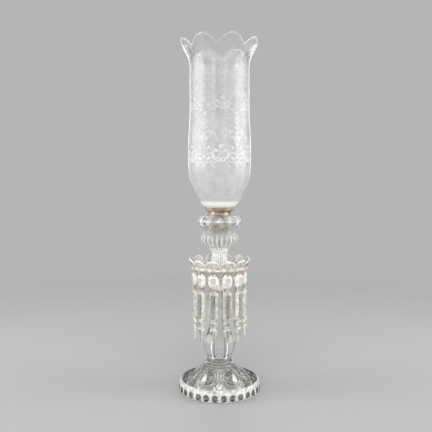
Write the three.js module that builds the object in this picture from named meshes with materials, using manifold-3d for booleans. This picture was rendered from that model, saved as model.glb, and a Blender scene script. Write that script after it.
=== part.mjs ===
// Hurricane candle holder: a pressed glass stick with a pan of hanging prisms and a tall glass shade.
// Millimetres, +Z up, the origin under the centre of the foot on the table.
// Angles run about Z from the front, which is -Y, towards +X.

import * as THREE from 'three';
import { mergeVertices } from 'three/addons/utils/BufferGeometryUtils.js';
import Module from 'manifold-3d';

const wasm = await Module();
wasm.setup();

// Clearances between pieces that touch on the real object
const seatGap = 0.3;
const slipGap = 0.3;

// Foot: a round rim with thumbprints, a groove and a steep dome of six medallions
const footRadius = 66.6;
const rimHeight = 19.8;
const rimTopRadius = 62.2;
const rimScallop = 0.9;
const restRingWidth = 12;
const undersideRecess = 1.2;
const grooveRadius = 55.5;
const grooveHeight = 13;
const collarRadius = 23.4;
const collarHeight = 42.5;
const thumbprintCount = 30;
const thumbprintRadius = 4.8;
const thumbprintDepth = 1.6;
const thumbprintHeight = 7.8;
const medallionCount = 6;
const medallionRadius = 18.2;
const medallionCentreRadius = 37.6;
const medallionTilt = 45;
const lensRadius = 12;
const lensRise = 3.6;
const medallionRingRise = 1.6;
const medallionSink = 6;

// Stem: six flat panels, a bulge, a waist, a knop and a round seat. Each drop is measured down from the top.
const baseHeight = 183.4;
const stemSides = 6;
const stemFootRadius = 19.4;
const stemFootHeight = 55;
const bulgeRadius = 26.6;
const bulgeHeight = 76;
const waistRadius = 15.4;
const waistDrop = 55.4;
const knopRadius = 20.8;
const knopDrop = 32.4;
const knopHalfHeight = 8.5;
const stemNeckRadius = 11.6;
const stemNeckDrop = 16.4;
const stemSeatRadius = 15;
const stemSeatDepth = 4;

// Brass screw fittings, and the soft washers that keep glass from glass
const socketRadius = 6.5;
const socketDepth = 15;
const studRadius = 4;
const studReach = 12;
const studHeadRadius = 5.2;
const studHeadLength = 13;
const washerThickness = 1;
const washerRadius = 13;

// Pan: a saucer with a flat ledge for the pins and a crown of petals
const panHoleRadius = 7.5;
const hubRadius = 16.5;
const hubThickness = 6;
const hangRadius = 41.5;
const ledgeHalfWidth = 2.8;
const ledgeThickness = 4;
const ledgeHeight = 14;
const petalCount = 12;
const petalTipRadius = 50;
const petalHeight = 13.4;
const petalThickness = 2.6;
const petalNotch = 0.16;
const pendantPhase = -13;

// Nozzle: a lobed glass socket with a fluted bulge
const nozzleHeight = 94.4;
const nozzleFootRadius = 16;
const nozzleKnobRadius = 14.6;
const nozzleNeckRadius = 11.3;
const nozzleNeckHeight = 30.4;
const nozzleBulgeRadius = 30.2;
const nozzleBulgeHeight = 53.4;
const nozzleWaistRadius = 23.4;
const nozzleWaistHeight = 67.4;
const lipRadius = 35.8;
const lipHeight = 83.4;
const lobeCount = 12;
const lobeDepth = 0.08;
const flutesPerLobe = 2;
const fluteDepth = 0.045;
const boreMouthRadius = 17.2;
const boreFloorRadius = 14.8;
const boreDepth = 42.5;

// Brass candle cup, and the gallery that it holds
const cupFloorRadius = 11.9;
const cupWall = 0.8;
const cupReach = 31;
const cupStandOff = 3.1;
const cupBeadHeight = 0.7;
const cupBeadRise = 1.2;
const cupFlangeWidth = 2;
const cupFlangeThickness = 0.8;
const galleryWall = 1;
const galleryLipHeight = 6.6;
const galleryFlare = 0.9;
const galleryFootRadius = 20.3;

// Shade: a blown chimney with eight scallops
const shadeHeight = 268;
const shadeWall = 2.2;
const fitterRadius = 21.5;
const fitterHeight = 5.6;
const shoulderRadius = 46.8;
const shoulderHeight = 46;
const bodyRadius = 50.3;
const bodyHeight = 103;
const shadeWaistRadius = 47.6;
const shadeWaistHeight = 206;
const flareStartHeight = 234;
const shadeTipRadius = 62.6;
const scallopCount = 8;
const scallopValley = 0.58;
const scallopPhase = -3.5;

// Pendants: an eye pin, an octagon bead, a wire link and a long prism
const wireRadius = 0.45;
const eyeRadius = 3;
const pinRadius = 0.55;
const pinHeadRadius = 1.5;
const pinHeadThickness = 0.9;
const wireHoleRadius = 1.2;
const holeWallHalf = 1.2;
const holeEdge = 1.1;
const beadHeight = 20.5;
const beadHalfWidth = 8;
const beadHalfThickness = 3.7;
const beadTableHalfWidth = 4.6;
const beadCorner = 6;
const linkStraight = 5.4;
const prismBarHalfWidth = 7.2;
const prismBarLength = 44;
const prismHalfThickness = 3.8;
const prismShoulder = 6;
const buttonHalfWidth = 6.2;
const buttonHeight = 10;
const spearHalfWidth = 6.5;
const spearLength = 22;
const prismNotch = 2.6;
const prismNeckHalfWidth = 3.2;

// Facets round each turned form
const footSegments = 2 * thumbprintCount;
const stemSegments = 4 * stemSides;
const panSegments = 6 * petalCount;
const nozzleSegments = 2 * lobeCount * flutesPerLobe;
const shadeSegments = 6 * scallopCount;
const brassSegments = 24;
const holeSegments = 6;
const wireSides = 5;
const eyeSteps = 10;
const linkSteps = 10;

const glass = new THREE.MeshStandardMaterial({ color: 0xeef1ec, roughness: 0.03, metalness: 0 });
const etchedGlass = new THREE.MeshStandardMaterial({ color: 0xe9ebea, roughness: 0.25, metalness: 0 });
const crystal = new THREE.MeshStandardMaterial({ color: 0xeeefe2, roughness: 0.02, metalness: 0 });
const brass = new THREE.MeshStandardMaterial({ color: 0x9c7a4c, roughness: 0.4, metalness: 1 });
const wire = new THREE.MeshStandardMaterial({ color: 0xb59a5e, roughness: 0.35, metalness: 1 });
const felt = new THREE.MeshStandardMaterial({ color: 0xd8d2c0, roughness: 0.9, metalness: 0 });

const model = new THREE.Group();

function addPiece(name, solid, material, height = 0, radius = 0, degrees = 0) {
  const turn = THREE.MathUtils.degToRad(degrees);
  const mesh = new THREE.Mesh(toGeometry(solid), material.clone());
  mesh.name = name;
  mesh.position.set(radius * Math.sin(turn), -radius * Math.cos(turn), height);
  mesh.rotation.z = turn;
  model.add(mesh);
  return mesh;
}

// A closed geometry becomes a solid once its doubled points are merged and its flat triangles dropped.
function toSolid(geometry) {
  const bare = geometry.clone();
  bare.deleteAttribute('normal');
  bare.deleteAttribute('uv');
  const merged = mergeVertices(bare, 1e-4);
  const corners = merged.index.array;
  const kept = [];
  for (let i = 0; i < corners.length; i += 3) {
    const [a, b, c] = [corners[i], corners[i + 1], corners[i + 2]];
    if (a !== b && b !== c && c !== a) kept.push(a, b, c);
  }
  return new wasm.Manifold(new wasm.Mesh({
    numProp: 3,
    vertProperties: new Float32Array(merged.attributes.position.array),
    triVerts: new Uint32Array(kept),
  }));
}

function toGeometry(solid) {
  const mesh = solid.getMesh();
  const geometry = new THREE.BufferGeometry();
  geometry.setAttribute('position', new THREE.BufferAttribute(mesh.vertProperties, mesh.numProp));
  geometry.setIndex(new THREE.BufferAttribute(mesh.triVerts, 1));
  geometry.computeVertexNormals();
  return geometry;
}

function join(solids) {
  return solids.reduce((whole, piece) => whole.add(piece));
}

// A form turned about Z from [radius, height] points. reshape may move each point by its angle.
function turned(profile, segments, reshape = null) {
  const points = profile.map(([radius, height]) => new THREE.Vector2(radius, height));
  const geometry = new THREE.LatheGeometry(points, segments);
  geometry.rotateX(Math.PI / 2);
  if (reshape) {
    const position = geometry.attributes.position;
    for (let i = 0; i < position.count; i += 1) {
      const [radius, height] = profile[i % profile.length];
      const turn = 2 * Math.PI * Math.floor(i / profile.length) / segments;
      const [newRadius, newHeight] = reshape(turn, radius, height);
      position.setXYZ(i, newRadius * Math.sin(turn), -newRadius * Math.cos(turn), newHeight);
    }
  }
  return toSolid(geometry);
}

function rod(radius, low, high, segments) {
  return turned([[0, low], [radius, low], [radius, high], [0, high]], segments);
}

function placed(solid, height, radius = 0, degrees = 0, tilt = 0) {
  const turn = THREE.MathUtils.degToRad(degrees);
  const matrix = new THREE.Matrix4().makeRotationZ(turn);
  matrix.setPosition(radius * Math.sin(turn), -radius * Math.cos(turn), height);
  matrix.multiply(new THREE.Matrix4().makeRotationX(THREE.MathUtils.degToRad(tilt)));
  return solid.transform(matrix.toArray());
}

// Evenly spaced points on a smooth curve through the given [radius, height] points
function smooth(points, count) {
  const knots = points.map(([radius, height]) => new THREE.Vector3(radius, height, 0));
  const curve = new THREE.CatmullRomCurve3(knots, false, 'centripetal');
  return curve.getPoints(count).map((point) => [point.x, point.y]);
}

// A point of an outline, at its own share of the way between two radii and between two heights
function between(fromRadius, toRadius, radiusShare, fromHeight, toHeight, heightShare) {
  return [
    THREE.MathUtils.lerp(fromRadius, toRadius, radiusShare),
    THREE.MathUtils.lerp(fromHeight, toHeight, heightShare),
  ];
}

// The same outline moved inwards by a wall
function offsetInward(outline, wall) {
  return outline.map(([radius, height], i) => {
    const before = outline[Math.max(i - 1, 0)];
    const after = outline[Math.min(i + 1, outline.length - 1)];
    const along = new THREE.Vector2(after[0] - before[0], after[1] - before[1]).normalize();
    return [radius - wall * along.y, height + wall * along.x];
  });
}

// Foot and stem, pressed as one piece

function footSolid() {
  const restRadius = footRadius - 2.4;
  const profile = [
    [0, undersideRecess], [restRadius - restRingWidth - 1, undersideRecess], [restRadius - restRingWidth, 0],
    [restRadius, 0], [footRadius - 0.5, 0.11 * rimHeight], [footRadius, 0.36 * rimHeight],
    [footRadius - 0.6, 0.6 * rimHeight],
    [rimTopRadius + 2.6, 0.88 * rimHeight], [rimTopRadius, rimHeight], [rimTopRadius - 2, rimHeight - 1.2],
    [grooveRadius + 1, grooveHeight + 0.4], [grooveRadius - 2.5, grooveHeight],
    [collarRadius, collarHeight], [0, collarHeight],
  ];
  const halfStep = Math.PI / thumbprintCount;
  return turned(profile, footSegments, (turn, radius, height) => {
    const inValley = Math.round(turn / halfStep) % 2 === 0;
    const onRim = radius > rimTopRadius + 1;
    return [inValley && onRim ? radius - rimScallop : radius, height];
  });
}

function thumbprintCutters() {
  const clear = 2;
  const dish = [[0, -thumbprintDepth], [thumbprintRadius, 0], [1.3 * thumbprintRadius, clear], [0, clear]];
  const cutter = turned(dish, 8);
  const step = 360 / thumbprintCount;
  return join(Array.from({ length: thumbprintCount }, (_, k) => (
    placed(cutter, thumbprintHeight, footRadius, (k + 0.5) * step, 90)
  )));
}

function medallions() {
  const ringRadius = (medallionRadius + lensRadius) / 2 - 1.6;
  const outer = medallionRadius;
  const profile = [
    [0, -medallionSink], [outer - 1, -medallionSink], [outer - 1, medallionRingRise], [outer - 3, 0.3],
    [ringRadius, medallionRingRise - 0.1], [lensRadius, 0.4], [0.6 * lensRadius, 0.74 * lensRise],
    [0, lensRise],
  ];
  const disc = turned(profile, 16);
  const slope = (collarHeight - grooveHeight) / (grooveRadius - 2.5 - collarRadius);
  const height = collarHeight - slope * (medallionCentreRadius - collarRadius);
  const step = 360 / medallionCount;
  return join(Array.from({ length: medallionCount }, (_, k) => (
    placed(disc, height, medallionCentreRadius, (k + 0.5) * step, medallionTilt)
  )));
}

// A round section becomes six-sided, with its edges at odd multiples of half a side.
function stemSolid() {
  const waistHeight = baseHeight - waistDrop;
  const knopHeight = baseHeight - knopDrop;
  const stemNeckHeight = baseHeight - stemNeckDrop;
  const start = collarHeight - 10;
  const rings = [
    [0, start], [stemFootRadius, start], [collarRadius - 0.4, collarHeight - 0.4],
    [collarRadius, collarHeight + 1.2], [collarRadius - 1.4, collarHeight + 3.4],
    [stemFootRadius + 1.2, collarHeight + 4],
    [stemFootRadius + 1.8, collarHeight + 6.4], [stemFootRadius + 0.4, collarHeight + 8.4],
  ];
  const shaft = smooth([
    [stemFootRadius, stemFootHeight],
    between(stemFootRadius, bulgeRadius, 0.58, stemFootHeight, bulgeHeight, 0.38),
    [bulgeRadius, bulgeHeight],
    between(bulgeRadius, waistRadius, 0.5, bulgeHeight, waistHeight, 0.33),
    between(bulgeRadius, waistRadius, 0.91, bulgeHeight, waistHeight, 0.62),
    [waistRadius - 0.6, waistHeight], [waistRadius, knopHeight - knopHalfHeight],
  ], 9);
  const top = [
    [knopRadius, knopHeight - 0.35 * knopHalfHeight], [knopRadius, knopHeight + 0.35 * knopHalfHeight],
    [stemNeckRadius + 1.6, knopHeight + knopHalfHeight], [stemNeckRadius, stemNeckHeight],
    [stemNeckRadius + 0.6, baseHeight - 1.75 * stemSeatDepth],
    [stemSeatRadius, baseHeight - stemSeatDepth], [stemSeatRadius, baseHeight], [0, baseHeight],
  ];
  const blendLength = 9;
  const halfSide = Math.PI / stemSides;
  return turned([...rings, ...shaft, ...top], stemSegments, (turn, radius, height) => {
    const rise = THREE.MathUtils.smoothstep(height, stemFootHeight, stemFootHeight + blendLength);
    const fade = 1 - THREE.MathUtils.smoothstep(height, stemNeckHeight, baseHeight - stemSeatDepth);
    const fromPanel = ((turn + halfSide) % (2 * halfSide)) - halfSide;
    const flat = Math.cos(halfSide) / Math.cos(fromPanel);
    return [radius * THREE.MathUtils.lerp(1, flat, rise * fade), height];
  });
}

function pressedBase() {
  const socketHole = rod(socketRadius + slipGap, baseHeight - socketDepth - 2 * seatGap, baseHeight + 1, 16);
  return join([footSolid(), medallions(), stemSolid()]).subtract(thumbprintCutters()).subtract(socketHole);
}

// Heights of the stack, each piece on the one below
const lowerWasherHeight = baseHeight + seatGap;
const panHeight = lowerWasherHeight + washerThickness + seatGap;
const upperWasherHeight = panHeight + hubThickness + seatGap;
const nozzleBase = upperWasherHeight + washerThickness + seatGap;
const nozzleTop = nozzleBase + nozzleHeight;
const cupBase = nozzleTop - cupReach;
const galleryBase = nozzleTop + cupStandOff + cupBeadHeight + seatGap;
const shadeBase = galleryBase + galleryWall + seatGap;
const eyeHeight = panHeight + ledgeHeight - seatGap - wireRadius - eyeRadius;

function ringOf(innerRadius, outerRadius, thickness) {
  return turned([
    [innerRadius, 0], [outerRadius, 0], [outerRadius, thickness], [innerRadius, thickness], [innerRadius, 0],
  ], brassSegments);
}

function stemSocket() {
  const boreRadius = studRadius + slipGap;
  const top = socketDepth;
  return turned([
    [0, 0], [socketRadius, 0], [socketRadius, top], [boreRadius, top], [boreRadius, 1.2], [0, 1.2],
  ], brassSegments);
}

function nozzleStud() {
  const shoulder = nozzleBase;
  const tip = baseHeight - studReach;
  return turned([
    [0, tip], [studRadius - 0.8, tip], [studRadius, tip + 1], [studRadius, shoulder],
    [studHeadRadius, shoulder], [studHeadRadius, shoulder + studHeadLength], [0, shoulder + studHeadLength],
  ], brassSegments);
}

// Pan with petals: above the ledge each petal stands to its own height round the circle
function pan() {
  const inner = hangRadius - ledgeHalfWidth;
  const outer = hangRadius + ledgeHalfWidth - 0.4;
  const ledgeTop = ledgeHeight + ledgeThickness;
  const tipHeight = ledgeTop + petalHeight;
  const profile = [
    [panHoleRadius, 0], [hubRadius, 0], [inner - 0.6, ledgeHeight], [outer, ledgeHeight],
    [outer + petalThickness, ledgeTop - 0.6], [petalTipRadius - 1, ledgeTop + 0.6 * petalHeight],
    [petalTipRadius, tipHeight - 1], [petalTipRadius - 1.2, tipHeight],
    [petalTipRadius - 3.2, ledgeTop + 0.6 * petalHeight], [outer + 0.5, ledgeTop + 1],
    [outer - 0.6, ledgeTop], [inner, ledgeTop], [hubRadius, hubThickness], [panHoleRadius, hubThickness],
    [panHoleRadius, 0],
  ];
  const step = 2 * Math.PI / petalCount;
  const saucer = turned(profile, panSegments, (turn, radius, height) => {
    if (height <= ledgeTop) return [radius, height];
    const across = 2 * (turn / step - Math.floor(turn / step + 1e-6)) - 1;
    const arch = Math.sqrt(Math.max(0, 1 - across * across));
    const share = petalNotch + (1 - petalNotch) * arch;
    return [outer + (radius - outer) * share, ledgeTop + (height - ledgeTop) * share];
  });
  const hole = rod(pinRadius + slipGap, ledgeHeight - 1, ledgeTop + 1, holeSegments);
  const holes = Array.from({ length: petalCount }, (_, k) => (
    placed(hole, 0, hangRadius, (k + 0.5) * 360 / petalCount)
  ));
  return saucer.subtract(join(holes));
}

// Nozzle: lobes round the lip and flutes round the bulge
function nozzle() {
  const foot = [
    [0, 0], [nozzleFootRadius - 0.6, 0], [nozzleFootRadius, 1.2], [nozzleFootRadius - 0.6, 3],
    [nozzleKnobRadius - 1.4, 0.2 * nozzleNeckHeight], [nozzleKnobRadius, 0.44 * nozzleNeckHeight],
    [nozzleKnobRadius, 0.64 * nozzleNeckHeight],
  ];
  const mouthEdge = boreMouthRadius + 4.4;
  const body = smooth([
    [nozzleNeckRadius, nozzleNeckHeight],
    between(nozzleNeckRadius, nozzleBulgeRadius, 0.19, nozzleNeckHeight, nozzleBulgeHeight, 0.23),
    between(nozzleNeckRadius, nozzleBulgeRadius, 0.31, nozzleNeckHeight, nozzleBulgeHeight, 0.39),
    between(nozzleNeckRadius, nozzleBulgeRadius, 0.74, nozzleNeckHeight, nozzleBulgeHeight, 0.59),
    [nozzleBulgeRadius, nozzleBulgeHeight],
    between(nozzleBulgeRadius, nozzleWaistRadius, 0.36, nozzleBulgeHeight, nozzleWaistHeight, 0.53),
    [nozzleWaistRadius, nozzleWaistHeight],
    between(nozzleWaistRadius, lipRadius, 0.49, nozzleWaistHeight, lipHeight, 0.44),
    [lipRadius, lipHeight],
    between(lipRadius, mouthEdge, 0.33, lipHeight, nozzleHeight, 0.58),
    [mouthEdge, nozzleHeight - 0.5],
  ], 12);
  const outside = [...foot, ...body, [boreMouthRadius + 2, nozzleHeight], [0, nozzleHeight]];
  const fluteStep = 2 * Math.PI / (lobeCount * flutesPerLobe);
  const shell = turned(outside, nozzleSegments, (turn, radius, height) => {
    const onLip = THREE.MathUtils.smoothstep(height, nozzleWaistHeight, lipHeight);
    const offMouth = 1 - THREE.MathUtils.smoothstep(height, lipHeight, nozzleHeight);
    const onBulge = THREE.MathUtils.smoothstep(height, nozzleNeckHeight - 6, nozzleBulgeHeight - 6);
    const belowWaist = 1 - THREE.MathUtils.smoothstep(height, nozzleBulgeHeight, nozzleWaistHeight);
    const lobe = 1 - Math.abs(Math.sin(turn * lobeCount / 2));
    const flute = Math.abs(turn / fluteStep - Math.round(turn / fluteStep)) < 0.1 ? 1 : 0;
    const cut = lobeDepth * lobe * onLip * offMouth + fluteDepth * flute * onBulge * belowWaist;
    return [radius * (1 - cut), height];
  });
  const bore = turned([
    [0, nozzleHeight - boreDepth], [boreFloorRadius, nozzleHeight - boreDepth],
    [boreMouthRadius, nozzleHeight], [boreMouthRadius + 0.5, nozzleHeight + 1], [0, nozzleHeight + 1],
  ], brassSegments);
  const studHole = rod(studHeadRadius + slipGap, -1, studHeadLength + seatGap, 16);
  return shell.subtract(bore).subtract(studHole);
}

// Candle cup: a tapered brass cup, beaded under the gallery and flanged over it
function candleCup() {
  const neck = boreMouthRadius - slipGap;
  const bead = cupReach + cupStandOff;
  const floor = bead + cupBeadHeight;
  const flange = floor + 2 * seatGap + galleryWall;
  const top = flange + cupFlangeThickness;
  return turned([
    [0, 0], [cupFloorRadius - 0.8, 0], [cupFloorRadius, 0.8], [neck, cupReach], [neck, bead - 0.6],
    [neck + cupBeadRise, bead], [neck + cupBeadRise, floor], [neck, floor], [neck, flange],
    [neck + cupFlangeWidth, flange], [neck + cupFlangeWidth, top], [neck - cupWall, top],
    [neck - cupWall, cupReach], [cupFloorRadius - cupWall, cupWall + 0.4], [0, cupWall + 0.4],
  ], brassSegments);
}

// Gallery: a dish whose lip stands round the fitter of the shade
function gallery() {
  const hole = boreMouthRadius;
  const inner = fitterRadius + slipGap;
  const outer = inner + galleryWall;
  return turned([
    [hole, 0], [galleryFootRadius, 0], [outer, 0.3 * galleryLipHeight],
    [outer + galleryFlare, galleryLipHeight],
    [inner + galleryFlare, galleryLipHeight], [inner, galleryWall],
    [hole, galleryWall], [hole, 0],
  ], brassSegments);
}

// Shade: the flare above flareStartHeight is cut to eight scallops
function shade() {
  const foot = ([radiusShare, heightShare]) => (
    between(fitterRadius, shoulderRadius, radiusShare, fitterHeight, shoulderHeight, heightShare)
  );
  const outline = [
    [fitterRadius, 0], [fitterRadius, fitterHeight],
    ...smooth([
      ...[[0.2, 0.06], [0.45, 0.28], [0.67, 0.53], [0.86, 0.77]].map(foot),
      [shoulderRadius, shoulderHeight],
      between(shoulderRadius, bodyRadius, 0.77, shoulderHeight, bodyHeight, 0.28),
      [bodyRadius, bodyHeight],
      between(bodyRadius, shadeWaistRadius, 0.85, bodyHeight, shadeWaistHeight, 0.47),
      [shadeWaistRadius, shadeWaistHeight],
      [shadeWaistRadius + 0.6, flareStartHeight],
    ], 8),
    between(shadeWaistRadius, shadeTipRadius, 0.24, flareStartHeight, shadeHeight, 0.32),
    between(shadeWaistRadius, shadeTipRadius, 0.52, flareStartHeight, shadeHeight, 0.6),
    [shadeTipRadius, shadeHeight],
  ];
  const inside = offsetInward(outline, shadeWall);
  inside[inside.length - 1] = [shadeTipRadius - 1.6, shadeHeight];
  inside[0] = [fitterRadius - shadeWall, 0];
  const loop = [...outline, ...inside.reverse(), outline[0]];
  const step = 2 * Math.PI / scallopCount;
  return turned(loop, shadeSegments, (turn, radius, height) => {
    if (height <= flareStartHeight + 0.5) return [radius, height];
    const across = Math.abs(Math.sin(Math.PI * turn / step));
    const share = scallopValley + (1 - scallopValley) * across;
    const start = shadeWaistRadius;
    return [start + (radius - start) * share, flareStartHeight + (height - flareStartHeight) * share];
  });
}

// A ring of wire in the radial plane, its two halves pulled apart by a straight stretch
function wireRing(steps, straight = 0) {
  const geometry = new THREE.TorusGeometry(eyeRadius, wireRadius, wireSides, steps);
  geometry.rotateZ(Math.PI / steps);
  geometry.rotateY(Math.PI / 2);
  geometry.rotateX(Math.PI / 2);
  const position = geometry.attributes.position;
  for (let i = 0; i < position.count; i += 1) {
    const z = position.getZ(i);
    position.setZ(i, z + Math.sign(z) * straight / 2);
  }
  return toSolid(geometry);
}

// Eye pin: its head lies on the pan's ledge and its eye hangs below. Its middle is the eye's centre.
function eyePin() {
  const shankLow = eyeRadius;
  const ledgeTop = eyeRadius + wireRadius + seatGap + ledgeThickness + seatGap;
  const pin = turned([
    [0, shankLow], [pinRadius, shankLow], [pinRadius, ledgeTop], [pinHeadRadius, ledgeTop],
    [pinHeadRadius, ledgeTop + pinHeadThickness], [0, ledgeTop + pinHeadThickness],
  ], holeSegments);
  return wireRing(eyeSteps).add(pin);
}

// A flat-faced bar from cross-sections [height, half width, face half width, half thickness, edge half]
function facetedBar(sections) {
  const positions = [];
  for (const [height, halfWidth, face, halfThickness, edge] of sections) {
    const corners = [
      [halfWidth, -edge], [halfWidth, edge], [face, halfThickness], [-face, halfThickness],
      [-halfWidth, edge], [-halfWidth, -edge], [-face, -halfThickness], [face, -halfThickness],
    ];
    for (const [x, y] of corners) positions.push(x, y, height);
  }
  const sides = 8;
  const last = sides * (sections.length - 1);
  const index = [];
  for (let row = 0; row < last; row += sides) {
    for (let i = 0; i < sides; i += 1) {
      const next = (i + 1) % sides;
      index.push(row + i, row + next, row + sides + next, row + i, row + sides + next, row + sides + i);
    }
  }
  for (let i = 1; i < sides - 1; i += 1) {
    index.push(0, i + 1, i, last, last + i, last + i + 1);
  }
  const geometry = new THREE.BufferGeometry();
  geometry.setAttribute('position', new THREE.Float32BufferAttribute(positions, 3));
  geometry.setIndex(index);
  return toSolid(geometry);
}

// A hole through the thickness, for a wire
function wireHole(height) {
  return placed(rod(wireHoleRadius, -beadHalfThickness, beadHalfThickness, holeSegments), height, 0, 0, 90);
}

const holeToWire = 0.2;
const holeBelowEye = eyeRadius - holeToWire;
const edgeToEye = holeBelowEye - wireHoleRadius - holeEdge;
const edgeHalfWidth = wireHoleRadius + 2;

// Bead: its middle is its own centre
function bead() {
  const half = beadHeight / 2;
  const wide = half - beadCorner;
  const hole = half - holeEdge - wireHoleRadius;
  const tableEdge = 0.9;
  const body = facetedBar([
    [-half, edgeHalfWidth, edgeHalfWidth - 1, holeWallHalf, 0.7],
    [-wide, beadHalfWidth, beadTableHalfWidth, beadHalfThickness, tableEdge],
    [wide, beadHalfWidth, beadTableHalfWidth, beadHalfThickness, tableEdge],
    [half, edgeHalfWidth, edgeHalfWidth - 1, holeWallHalf, 0.7],
  ]);
  return body.subtract(wireHole(hole)).subtract(wireHole(-hole));
}

// Prism: a bar, an eight-sided button and a spear point. Its top edge is at zero.
function prism() {
  const barTop = -prismShoulder;
  const barFoot = -prismBarLength;
  const buttonTop = barFoot - prismNotch;
  const buttonFoot = buttonTop - buttonHeight;
  const spearTop = buttonFoot - prismNotch;
  const buttonCorner = 2.8;
  const neck = [prismNeckHalfWidth, 1.6, 2, 0.8];
  const full = (halfWidth) => [halfWidth, 0.45 * halfWidth, prismHalfThickness, 0.8];
  const body = facetedBar([
    [spearTop - spearLength, 0.9, 0.5, 0.9, 0.5],
    [spearTop - 1.5, ...full(spearHalfWidth)],
    [spearTop + 0.5 * prismNotch, ...neck],
    [buttonFoot + buttonCorner, ...full(buttonHalfWidth)],
    [buttonTop - buttonCorner, ...full(buttonHalfWidth)],
    [buttonTop + 0.5 * prismNotch, ...neck],
    [barFoot + 1, ...full(prismBarHalfWidth)],
    [barTop, ...full(prismBarHalfWidth)],
    [0, edgeHalfWidth, edgeHalfWidth - 1, holeWallHalf, 0.7],
  ]);
  const hole = wireHole(-holeEdge - wireHoleRadius);
  return body.subtract(hole);
}

// Assembly, from the table up
addPiece('pressed_base', pressedBase(), glass);
addPiece('stem_socket', stemSocket(), brass, baseHeight - socketDepth);
addPiece('lower_washer', ringOf(panHoleRadius, washerRadius, washerThickness), felt, lowerWasherHeight);
addPiece('bobeche', pan(), glass, panHeight, 0, pendantPhase - 180 / petalCount);
addPiece('upper_washer', ringOf(panHoleRadius, washerRadius, washerThickness), felt, upperWasherHeight);
addPiece('nozzle_screw', nozzleStud(), brass);
addPiece('nozzle', nozzle(), glass, nozzleBase);
addPiece('candle_cup', candleCup(), brass, cupBase);
addPiece('shade_gallery', gallery(), brass, galleryBase);
addPiece('shade', shade(), etchedGlass, shadeBase, 0, scallopPhase);

const beadCentre = eyeHeight - edgeToEye - beadHeight / 2;
const linkTop = beadCentre - beadHeight / 2 - edgeToEye;
const linkCentre = linkTop - linkStraight / 2;
const prismTop = linkTop - linkStraight - edgeToEye;
const pinSolid = eyePin();
const beadSolid = bead();
const linkSolid = wireRing(linkSteps, linkStraight);
const prismSolid = prism();
for (let k = 0; k < petalCount; k += 1) {
  const degrees = pendantPhase + k * 360 / petalCount;
  const number = String(k + 1).padStart(2, '0');
  addPiece(`eye_pin_${number}`, pinSolid, wire, eyeHeight, hangRadius, degrees);
  addPiece(`bead_${number}`, beadSolid, crystal, beadCentre, hangRadius, degrees);
  addPiece(`link_${number}`, linkSolid, wire, linkCentre, hangRadius, degrees);
  addPiece(`prism_${number}`, prismSolid, crystal, prismTop, hangRadius, degrees);
}

export default model;
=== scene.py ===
# Hurricane candle holder: pressed glass stick, petalled pan with cut prisms, lobed nozzle and etched shade.
# Lengths in the sizes are millimetres, in the looks metres. Angles run about Z from the front, -Y, to +X.
# A mesh's painted light attribute is above 0 where a highlight is painted on its glass as white haze, and
# below 0 where shade is painted on it as a dark tint.
import math
from types import SimpleNamespace
import bmesh
import bpy
import numpy as np
from mathutils import Matrix, Vector


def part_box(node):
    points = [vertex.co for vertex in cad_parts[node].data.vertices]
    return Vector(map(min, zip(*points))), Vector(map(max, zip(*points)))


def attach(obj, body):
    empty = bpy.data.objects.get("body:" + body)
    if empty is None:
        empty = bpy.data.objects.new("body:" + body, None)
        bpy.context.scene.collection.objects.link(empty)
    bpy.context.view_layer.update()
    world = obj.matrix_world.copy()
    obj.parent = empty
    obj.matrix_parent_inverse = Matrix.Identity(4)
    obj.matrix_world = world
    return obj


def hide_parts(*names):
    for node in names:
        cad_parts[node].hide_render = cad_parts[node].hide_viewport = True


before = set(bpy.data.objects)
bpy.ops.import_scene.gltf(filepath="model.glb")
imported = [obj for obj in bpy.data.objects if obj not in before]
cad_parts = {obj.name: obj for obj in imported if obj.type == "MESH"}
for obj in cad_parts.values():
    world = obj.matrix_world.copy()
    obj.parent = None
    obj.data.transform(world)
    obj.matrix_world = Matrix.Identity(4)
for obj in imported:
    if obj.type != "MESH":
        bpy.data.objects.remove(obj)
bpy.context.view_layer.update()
mm = 0.001
turnFull = 2 * math.pi
print("frame loaded:", len(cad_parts), "nodes")


# Heights of a node's foot and head in millimetres
def footOf(node):
    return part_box(node)[0].z / mm


def headOf(node):
    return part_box(node)[1].z / mm


# The entries of a dictionary as attributes
def values(sizes):
    return SimpleNamespace(**sizes)


def placed(name, data):
    made = bpy.data.objects.new(name, data)
    bpy.context.scene.collection.objects.link(made)
    return made


# Node trees: a Field is an output socket, and maths on it adds Math nodes

class Field:
    def __init__(self, tree, socket):
        self.tree, self.socket = tree, socket

    def maths(self, operation, *others):
        return self.tree.node("ShaderNodeMath", {"operation": operation}, [self, *others])

    def __add__(self, other):
        return self.maths("ADD", other)

    def __sub__(self, other):
        return self.maths("SUBTRACT", other)

    def __mul__(self, other):
        return self.maths("MULTIPLY", other)

    def __truediv__(self, other):
        return self.maths("DIVIDE", other)

    def __rsub__(self, other):
        return self.tree.node("ShaderNodeMath", {"operation": "SUBTRACT"}, [other, self])

    __radd__ = __add__
    __rmul__ = __mul__


class Tree:
    def __init__(self, inner):
        self.inner = inner
        inner.nodes.clear()

    # Any node: its type, its settings, and the values or links of its sockets
    def node(self, kind, settings=None, sockets=(), output=0):
        made = self.inner.nodes.new(kind)
        for key, value in (settings or {}).items():
            setattr(made, key, value)
        for key, value in sockets.items() if isinstance(sockets, dict) else enumerate(sockets):
            if isinstance(value, Field):
                self.inner.links.new(value.socket, made.inputs[key])
            else:
                made.inputs[key].default_value = value
        return Field(self, made.outputs[output]) if made.outputs else None

    def split(self, vector):
        outputs = self.node("ShaderNodeSeparateXYZ", None, [vector]).socket.node.outputs
        return [Field(self, output) for output in outputs]

    def vector(self, *parts):
        return self.node("ShaderNodeCombineXYZ", None, parts)


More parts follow.
